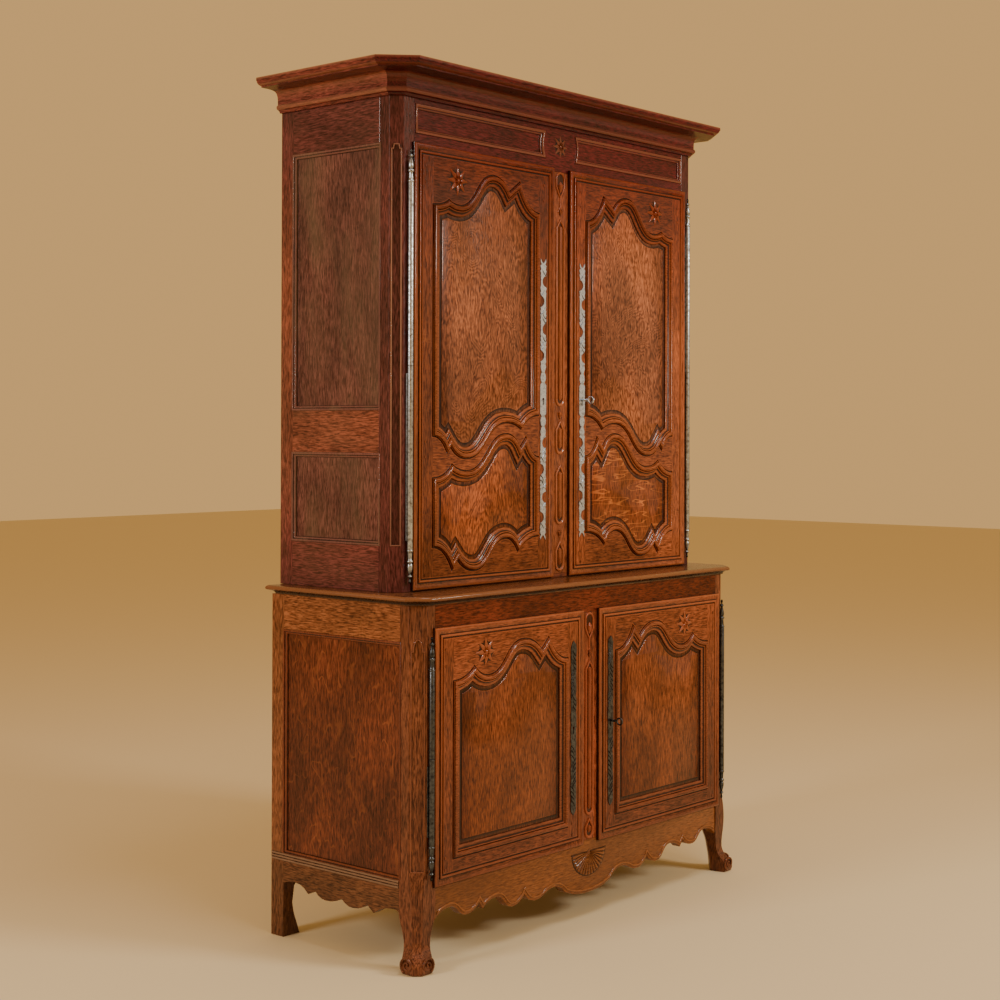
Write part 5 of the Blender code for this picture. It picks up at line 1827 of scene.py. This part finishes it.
@dataclass(frozen=True)
class CaseSide:
    """One side of the cupboard: frames and panels of both stages, their mouldings and the reeded strip."""

    side: Side
    reed_half: float = 0.0036
    reed_rise: float = 0.0034

    def moulding(self, stage: Stage, label: str, heights: Point) -> None:
        """Builds the moulding round a side panel.

        Args:
            stage: the stage.
            label: the panel's name.
            heights: its foot and head.
        """
        draft = Draft()
        front = stage.front - stage.post_depth
        outline = rectangle((REAR_POST_DEPTH, front), heights)
        draft.ring(side_plane(stage, self.side), outline, SIDE_SECTION.stations())
        finish = UPPER_SIDE_PANEL_OAK if stage is UPPER else LOWER_SIDE_PANEL_OAK
        WORKSHOP.fit(draft.piece(f"{stage.name}_{self.side.label}_{label}_moulding"), finish, "carcass")

    def reeds(self) -> None:
        """Builds the strip of three reeds along the lower rail."""
        outline = [(0.2125, -0.0010, 0.0)]
        for middle in (0.2165, 0.2240, 0.2315):
            # Each reed is painted pale on its crest as highlight and dark at its foot as shade
            for turn in (math.pi * k / 6 for k in range(7)):
                swell = math.sin(turn)
                up = middle - self.reed_half * math.cos(turn)
                outline.append((up, 0.0002 + self.reed_rise * swell, 2 * swell - 1))
        outline.append((0.2350, -0.0010, 0.0))
        reach = (0.004, LOWER.front - LOWER.post_depth - 0.001)
        strip = prism(side_plane(LOWER, self.side), outline, reach)
        WORKSHOP.fit(strip.piece(f"lower_{self.side.label}_reeds", 50.0), REED_OAK, "carcass")

    def build(self) -> None:
        """Dresses the side."""
        label = self.side.label
        WORKSHOP.keep(UPPER_SIDE_OAK, f"upper_{label}_side_frame")
        panels = (f"upper_{label}_{size}_side_panel" for size in ("tall", "short"))
        WORKSHOP.keep(UPPER_SIDE_PANEL_OAK, *panels)
        WORKSHOP.keep(LOWER_SIDE_OAK, f"lower_{label}_side_frame")
        WORKSHOP.keep(LOWER_SIDE_PANEL_OAK, f"lower_{label}_side_panel")
        self.moulding(UPPER, "short", (1.110, 1.350))
        self.moulding(UPPER, "tall", (1.475, 2.185))
        self.moulding(LOWER, "side", (0.235, 0.855))
        self.reeds()


@dataclass(frozen=True)
class CentreStile:
    """The fixed stile between two doors, carved with a loop, drops and reeded strips."""

    stage: Stage
    strip_half: float = 0.0165
    loop_half: float = 0.018

    @property
    def plane(self) -> Plane:
        """The face of the stile."""
        return front_plane(self.stage.front)

    def rim(self, path: Sequence[Point], radius: float) -> Piece:
        """Carves a rib all round an outline."""
        return ribbon([self.plane.at(x, z, 0.0) for x, z in path], [radius] * len(path), closed=True)

    def rib(self, heights: Sequence[float], radii: Sequence[float]) -> Piece:
        """Carves a rib up the middle, with a radius at each height."""
        return ribbon([self.plane.at(0.0, z, 0.0) for z in heights], radii)

    def ground(self, path: Sequence[Point]) -> Piece:
        """Gives a dark sheet inside an outline: painted shade in the carved-out background."""
        return slab("ground", self.plane, path, (-0.002, 0.0004), -0.8)

    def strip(self, low: float, high: float) -> list[Piece]:
        """Args:
            low: its round foot.
            high: its pointed head.

        Returns:
            The outline of a strip and the reed down its middle.
        """
        wide = self.strip_half
        turns = [math.pi * (1 + i / 8) for i in range(9)]
        arc = [(wide * math.cos(t), low + wide + wide * math.sin(t)) for t in turns]
        path = [(0.0, high), (-wide, high - 1.4 * wide), *arc, (wide, high - 1.4 * wide)]
        # The rim and reed are painted pale as highlighted crests, the sheet inside dark as painted shade
        rim = worn(self.rim(path, 0.0046), 0.8)
        heights = (low + wide * 0.8, low + wide * 1.3, high - wide * 1.3, high - wide)
        reed = worn(self.rib(heights, (0.0012, 0.0078, 0.0078, 0.0012)), 0.5)
        return [rim, reed, self.ground(path)]

    def loop(self, low: float, high: float) -> list[Piece]:
        """Args:
            low: its point.
            high: its round head.

        Returns:
            A pointed loop with a stem below it.
        """
        wide = self.loop_half
        turns = [math.pi * i / 10 for i in range(11)]
        arc = [(wide * math.cos(t), high - wide + wide * math.sin(t)) for t in turns]
        flank = [(wide * 0.5, low + 0.012), (wide, low + 0.030)]
        path = [(0.0, low), *flank, *arc, *((-x, z) for x, z in flank[::-1])]
        ribs = [
            self.rim(path, 0.0036),
            self.rib((low + 0.004, low - 0.012, low - 0.030), (0.0036, 0.0026, 0.0030)),
            self.rib((low + 0.012, low + 0.022, low + 0.036, low + 0.046), (0.0010, 0.0070, 0.0090, 0.0020)),
        ]
        for hand in (-1, 1):
            steps = ((0.0, 0.028), (0.005, 0.038), (0.012, 0.046))
            foot = [self.plane.at(hand * x, low - z, 0.0) for x, z in steps]
            ribs.append(ribbon(foot, (0.0026, 0.0026, 0.0014)))
        # The ribs are painted pale as highlighted crests, the sheet inside dark as painted shade
        return [*(worn(rib, 0.8) for rib in ribs), self.ground(path)]

    def drop(self, top: float) -> Piece:
        """Gives a small leaf that points down from a height."""
        heights = [top - step for step in (0.0, 0.005, 0.011, 0.020, 0.025)]
        return self.rib(heights, (0.0010, 0.0082, 0.0072, 0.0030, 0.0006))

    def build(self) -> None:
        """Dresses the stile."""
        if self.stage is UPPER:
            finish, loop, drops = UPPER_STILE_OAK, (2.108, 2.180), (2.076, 1.474, 1.122)
            strips = ((1.492, 2.040), (1.350, 1.442), (1.142, 1.312), (1.004, 1.086))
        else:
            finish, loop, drops = LOWER_STILE_OAK, (0.812, 0.884), (0.780,)
            strips = ((0.300, 0.745), (0.232, 0.284))
        ribs = [*self.loop(*loop), *(self.drop(top) for top in drops)]
        for low, high in strips:
            ribs += self.strip(low, high)
        WORKSHOP.fit(joined(f"{self.stage.name}_stile_carving", ribs), finish, "carcass")
        WORKSHOP.keep(finish, f"{self.stage.name}_centre_stile")


# Shares of half the apron's lower edge: across, up, and True where the line runs level
APRON_EDGE = (
    (0.000, 0.319, True), (0.164, 0.412, False), (0.243, 0.519, True), (0.364, 0.430, True),
    (0.440, 0.554, False), (0.516, 0.443, True), (0.622, 0.621, True), (0.706, 0.532, False),
    (0.729, 0.621, False), (0.805, 0.523, True), (0.910, 0.674, True), (1.000, 0.568, False),
)


@dataclass(frozen=True)
class FrontApron:
    """The scalloped apron between the front legs, beaded along its edge, with a fan carved in the middle."""

    fan_radius: float = 0.080
    fan_depth: float = 0.070
    fan_top: float = 0.190
    flutes: int = 17

    def outline(self) -> list[Point]:
        """Returns:
            The apron's outline from its lower left corner.
        """
        reach = LOWER.opening - GAP
        half = flowing([(reach * x, LOWER.sill * z, level) for x, z, level in APRON_EDGE])
        top = LOWER.sill
        return [(-x, z) for x, z in half[:0:-1]] + half + [(reach, top), (-reach, top)]

    def board(self) -> Piece:
        """Returns:
            The apron's board.
        """
        draft = Draft()
        plane = front_plane(LOWER.front)
        # The front arris is painted pale: a rubbed edge with a painted highlight
        stations = ((0.0, -STOCK, 0.0), (0.0, -0.0020, 0.3), (0.0006, -0.0006, 0.9), (0.0020, 0.0, 0.4))
        draft.caps(draft.ring(plane, self.outline(), stations))
        return draft.piece("front_apron_look")

    def bead(self) -> Piece:
        """Returns:
            The bead along the scalloped edge.
        """
        draft = Draft()
        plane = front_plane(LOWER.front)
        # The bead is painted pale on its crest as highlight and dark at its feet as shade
        stations = (
            (0.0060, -0.0005, -0.8), (0.0062, 0.0004, -0.2), (0.0076, 0.0018, 0.7), (0.0092, 0.0022, 1.0),
            (0.0108, 0.0018, 0.7), (0.0122, 0.0004, -0.2), (0.0124, -0.0005, -0.8),
        )
        rows = []
        for place, out, wear in stations:
            edge = inset(self.outline(), place)[:-2]
            rows.append(draft.row((plane.at(a, u, out) for a, u in edge), wear))
        draft.run(rows)
        return draft.piece("front_apron_bead", 50.0)

    def fan(self) -> Piece:
        """Returns:
            The fan: flutes that spread down from a button under its flat top.
        """
        draft = Draft()
        plane = front_plane(LOWER.front)
        spokes = 8 * self.flutes
        lobes = [abs(math.sin(math.pi * self.flutes * k / spokes)) for k in range(spokes + 1)]
        rows = []
        for share in (0.10, 0.25, 0.50, 0.80, 0.93, 0.97, 1.00):
            fluted = share < 0.95
            rise = 0.0034 if fluted else 0.0004
            places = []
            for k, lobe in enumerate(lobes):
                angle = math.pi * (1 + k / spokes)
                across = share * self.fan_radius * math.cos(angle)
                up = self.fan_top + share * self.fan_depth * math.sin(angle)
                places.append(plane.at(across, up, rise * (0.2 + 0.8 * lobe)))
            # Flutes are painted pale on their ridges as highlight and dark in the grooves between as shade
            rows.append(draft.row(places, -0.9))
            for vertex, lobe in zip(rows[-1], lobes if fluted else ()):
                vertex[draft.wear] += 1.5 * lobe
        behind = Vector((0.0, 0.010, 0.0))
        back = [draft.row(vertex.co + behind for vertex in row) for row in (rows[-1], rows[0])]
        draft.run([*rows, *back])
        fan = draft.piece("fan", 70.0)
        bpy.ops.mesh.primitive_uv_sphere_add(segments=4, ring_count=4, radius=0.0100)
        button = latest()
        spot = Matrix.Translation(plane.at(0.0, self.fan_top - 0.004, 0.0))
        settle(button, spot @ Matrix.Diagonal((1.0, 0.4, 1.0, 1.0)))
        wide = self.fan_radius + 0.002
        # A rib along the flat top, painted dark as shade
        rim = ribbon([plane.at(x, self.fan_top + 0.001, 0.0) for x in (-wide, 0.0, wide)], [0.0018] * 3)
        return joined("apron_fan", [fan, button, worn(rim, -0.7)], 60.0)

    def build(self) -> None:
        """Builds the apron and dresses the rail above the doors."""
        WORKSHOP.fit(self.board(), APRON_OAK, "carcass", "lower_front_apron")
        WORKSHOP.fit(self.bead(), APRON_OAK, "carcass")
        WORKSHOP.fit(self.fan(), APRON_OAK, "carcass")
        WORKSHOP.keep(LOWER_RAIL_OAK, "lower_front_rail")


@dataclass(frozen=True)
class Frieze:
    """The rail above the upper doors: mouldings round its two sunk panels and a rosette between them."""

    low: float = 2.225
    high: float = 2.290
    inner: float = 0.080
    outer: float = 0.615
    medallion: float = 0.098

    def build(self) -> None:
        """Dresses the frieze."""
        WORKSHOP.keep(CORNICE_OAK, "frieze_rail")
        plane = front_plane(UPPER.front)
        half = (self.high - self.low) / 2
        middle = (self.high + self.low) / 2
        spread = math.asin(half / self.medallion)
        centre = self.inner - self.medallion * math.cos(spread)
        turns = [spread * (1 - 2 * i / 12) for i in range(13)]
        radius = self.medallion
        hollow = [(centre + radius * math.cos(t), middle + radius * math.sin(t)) for t in turns]
        panel = [(self.outer, self.low), (self.outer, self.high), *hollow]
        for side in Side:
            outline = [(side.value * x, z) for x, z in panel]
            draft = Draft()
            draft.ring(plane, outline, FRIEZE_SECTION.stations())
            WORKSHOP.fit(draft.piece(f"frieze_{side.label}_moulding"), CORNICE_OAK, "carcass")
        rosette = Rosette(0.034).build("frieze_rosette", plane.at(0.0, middle, -0.001))
        WORKSHOP.fit(rosette, CORNICE_OAK, "carcass")


# Marks up the cornice from each height above its foot: arrises painted pale as rubbed and highlighted, a
# painted sheen up the cove, and hollows under the arrises painted dark as shade
CORNICE_WEAR_AND_SHADING = (
    (0.0855, 0.7), (0.0700, 0.0), (0.0640, 0.5), (0.0600, -0.5), (0.0460, 0.4), (0.0300, 0.25),
    (0.0215, -0.2), (0.0080, 0.6), (0.0, -0.2),
)


@dataclass(frozen=True)
class Cornice:
    """The cornice in three lengths, mitred at the canted corners."""

    foot: float = 2.312
    seat: float = 0.030

    def section(self) -> Section:
        """Returns:
            (out, height above the foot) runs, from the foot against the case.
        """
        top = 0.088
        return Section(
            (
                ((0.0003, 0.0), (0.0085, 0.0)),
                ((0.0085, 0.0), (0.0092, 0.0030), (0.0125, 0.0066), (0.0180, 0.0085)),
                ((0.0180, 0.0085), (0.0205, 0.0118), (0.0207, 0.0165), (0.0182, 0.0202)),
                ((0.0182, 0.0202), (0.0160, 0.0204)),
                ((0.0160, 0.0204), (0.0160, 0.0240)),
                (
                    (0.0160, 0.0240), (0.0166, 0.0400), (0.0200, 0.0515), (0.0285, 0.0588), (0.0450, 0.0618),
                    (0.078, 0.0626),
                ),
                ((0.078, 0.0626), (0.078, 0.0665)),
                ((0.078, 0.0665), (0.0800, 0.0665)),
                ((0.0800, 0.0665), (0.0875, 0.0685), (0.0930, 0.0730), (0.0955, 0.0785)),
                ((0.0955, 0.0785), (0.0970, 0.0790)),
                ((0.0970, 0.0790), (0.0970, 0.0862)),
                ((0.0970, 0.0862), (0.0955, top)),
                ((0.0955, top), (-self.seat, top)),
                ((-self.seat, top), (-self.seat, 0.0333)),
                ((-self.seat, 0.0333), (0.0003, 0.0333)),
            )
        )

    def build(self) -> None:
        """Builds the three lengths."""
        pieces = {"cornice_left": (0, 1), "cornice_front": (1, 2, 3, 4), "cornice_right": (4, 5)}
        points = self.section().stations()
        for name, corners in pieces.items():
            draft = Draft()
            front = name == "cornice_front"
            rows = []
            for out, rise, _ in points:
                plan = case_plan(UPPER, out)
                places = []
                for i in corners:
                    # The returns stop a hair short of the front
                    depth = plan[i][1] - (GAP if i in (1, 4) and not front else 0.0)
                    places.append(Vector((plan[i][0], y_at(depth), self.foot + rise)))
                rows.append(draft.row(places, next(wear for height, wear in CORNICE_WEAR_AND_SHADING if rise >= height)))
            draft.run(rows)
            finish = CORNICE_OAK if front else RETURN_OAK
            WORKSHOP.fit(draft.piece(f"{name}_look", 28.0), finish, "carcass", name)


@dataclass(frozen=True)
class TableBoard:
    """The board between the stages, with a thumb moulding round its edge: painted shadow under the lip, and
    its upper round rubbed pale with a painted highlight.
    """

    underside: float = 0.957

    def build(self) -> None:
        """Builds the board."""
        # Inset, rise and wear from the underside up; the underside of the lip is painted dark as shadow, its
        # upper round pale as highlight
        levels = (
            (0.0210, 0.0, 0.0), (0.0205, 0.0030, -0.9), (0.0178, 0.0072, -0.8), (0.0115, 0.0104, -0.6),
            (0.0056, 0.0116, -0.2), (0.0016, 0.0132, 0.5), (0.0, 0.0166, 0.9), (0.0010, 0.0205, 1.0),
            (0.0040, 0.0235, 1.0), (0.0085, 0.0250, 0.3), (0.0160, 0.0250, 0.0),
        )
        outline = case_plan(LOWER, TABLE_OVERHANG)
        draft = Draft()
        rows = []
        for step, rise, wear in levels:
            z = self.underside + rise
            edge = inset(outline, step)
            rows.append(draft.row((Vector((x, y_at(depth), z)) for x, depth in edge), wear))
        draft.skin(rows)
        draft.caps(rows)
        WORKSHOP.fit(draft.piece("table_top_look", 40.0), TABLE_OAK, "carcass", "table_top")


class Interior:
    """Boards that show only from the back, the top or through an open door."""

    def build(self) -> None:
        """Dresses the boards."""
        WORKSHOP.keep(RAW_UPRIGHT, "lower_back_board", "upper_back_board")
        WORKSHOP.keep(RAW_LEVEL, "lower_shelf", "upper_shelf_1", "upper_shelf_2", "upper_top_board")
        WORKSHOP.keep(FLOOR_OAK, "lower_floor_board", "upper_floor_board")


@dataclass(frozen=True)
class Studio:
    """Pale floor, soft lights that aim at one height, and the camera fitted to the photograph."""

    place: Triple = (-3.9866, -3.3453, 1.4141)
    yaw: float = 0.8593
    pitch: float = -0.0064
    roll: float = 0.0028
    lens: float = 62.09
    shift: float = -0.0797
    aim: float = 1.2

    def camera(self) -> None:
        """Places the camera."""
        level = Vector((math.cos(self.yaw), -math.sin(self.yaw), 0.0))
        away = Vector((math.sin(self.yaw), math.cos(self.yaw), 0.0))
        ahead = math.cos(self.pitch) * away + Vector((0.0, 0.0, -math.sin(self.pitch)))
        up = level.cross(ahead)
        right = math.cos(self.roll) * level + math.sin(self.roll) * up
        above = -math.sin(self.roll) * level + math.cos(self.roll) * up
        data = bpy.data.cameras.new("camera")
        data.lens = self.lens
        data.sensor_width = 36.0
        data.shift_y = self.shift
        data.dof.use_dof = False
        made = placed("camera", data)
        turn = Matrix((right, above, -ahead)).transposed().to_4x4()
        made.matrix_world = Matrix.Translation(self.place) @ turn
        bpy.context.scene.camera = made

    def light(self, name: str, place: Vector, size: float, power: float, colour: str) -> None:
        """Hangs a soft lamp that points at the middle of the cupboard.

        Args:
            name: its name.
            place: where it hangs.
            size: its side.
            power: its power in watts.
            colour: its colour.
        """
        data = bpy.data.lights.new(name, "AREA")
        data.size = size
        data.energy = power
        data.color = linear(colour)[:3]
        made = placed(name, data)
        way = Vector((0.0, 0.0, self.aim)) - place
        made.matrix_world = Matrix.Translation(place) @ way.to_track_quat("-Z", "Y").to_matrix().to_4x4()

    def floor(self) -> None:
        """Lays the floor."""
        bpy.ops.mesh.primitive_plane_add(size=40.0)
        made = latest()
        made.name = "studio_floor"
        material = bpy.data.materials.new("pale_floor")
        material.use_nodes = True
        shader = material.node_tree.nodes["Principled BSDF"]
        shader.inputs["Base Color"].default_value = linear("#d9caa6")
        shader.inputs["Roughness"].default_value = 0.8
        made.data.materials.append(material)

    def build(self) -> None:
        """Sets the studio up."""
        self.camera()
        self.floor()
        world = bpy.data.worlds.new("studio")
        world.use_nodes = True
        sky = world.node_tree.nodes["Background"]
        sky.inputs["Color"].default_value = linear("#e0af6c")
        sky.inputs["Strength"].default_value = 0.92
        bpy.context.scene.world = world
        self.light("key_light", Vector((1.6, -5.2, 3.6)), size=1.3, power=200.0, colour="#fff4e6")
        self.light("side_light", Vector((-6.0, 0.8, 2.8)), size=1.3, power=165.0, colour="#fff6ec")
        self.light("top_light", Vector((-0.5, -1.8, 5.5)), size=1.6, power=70.0, colour="#ffffff")
        self.light("reflector", Vector((5.2, -4.2, 1.9)), size=2.4, power=5.0, colour="#ffffff")


def main() -> None:
    """Builds every sub-assembly in order."""
    logging.basicConfig(level=logging.INFO, format="%(message)s")
    Interior().build()
    for side in Side:
        CaseSide(side).build()
        Corner(side).build()
    FrontApron().build()
    TableBoard().build()
    Frieze().build()
    Cornice().build()
    for stage in (LOWER, UPPER):
        CentreStile(stage).build()
        for side in Side:
            DoorLeaf(stage, side).build()
            Hinge(stage, side).build()
        KeyAndLock(stage).build()
    Studio().build()


if __name__ == "__main__":
    main()
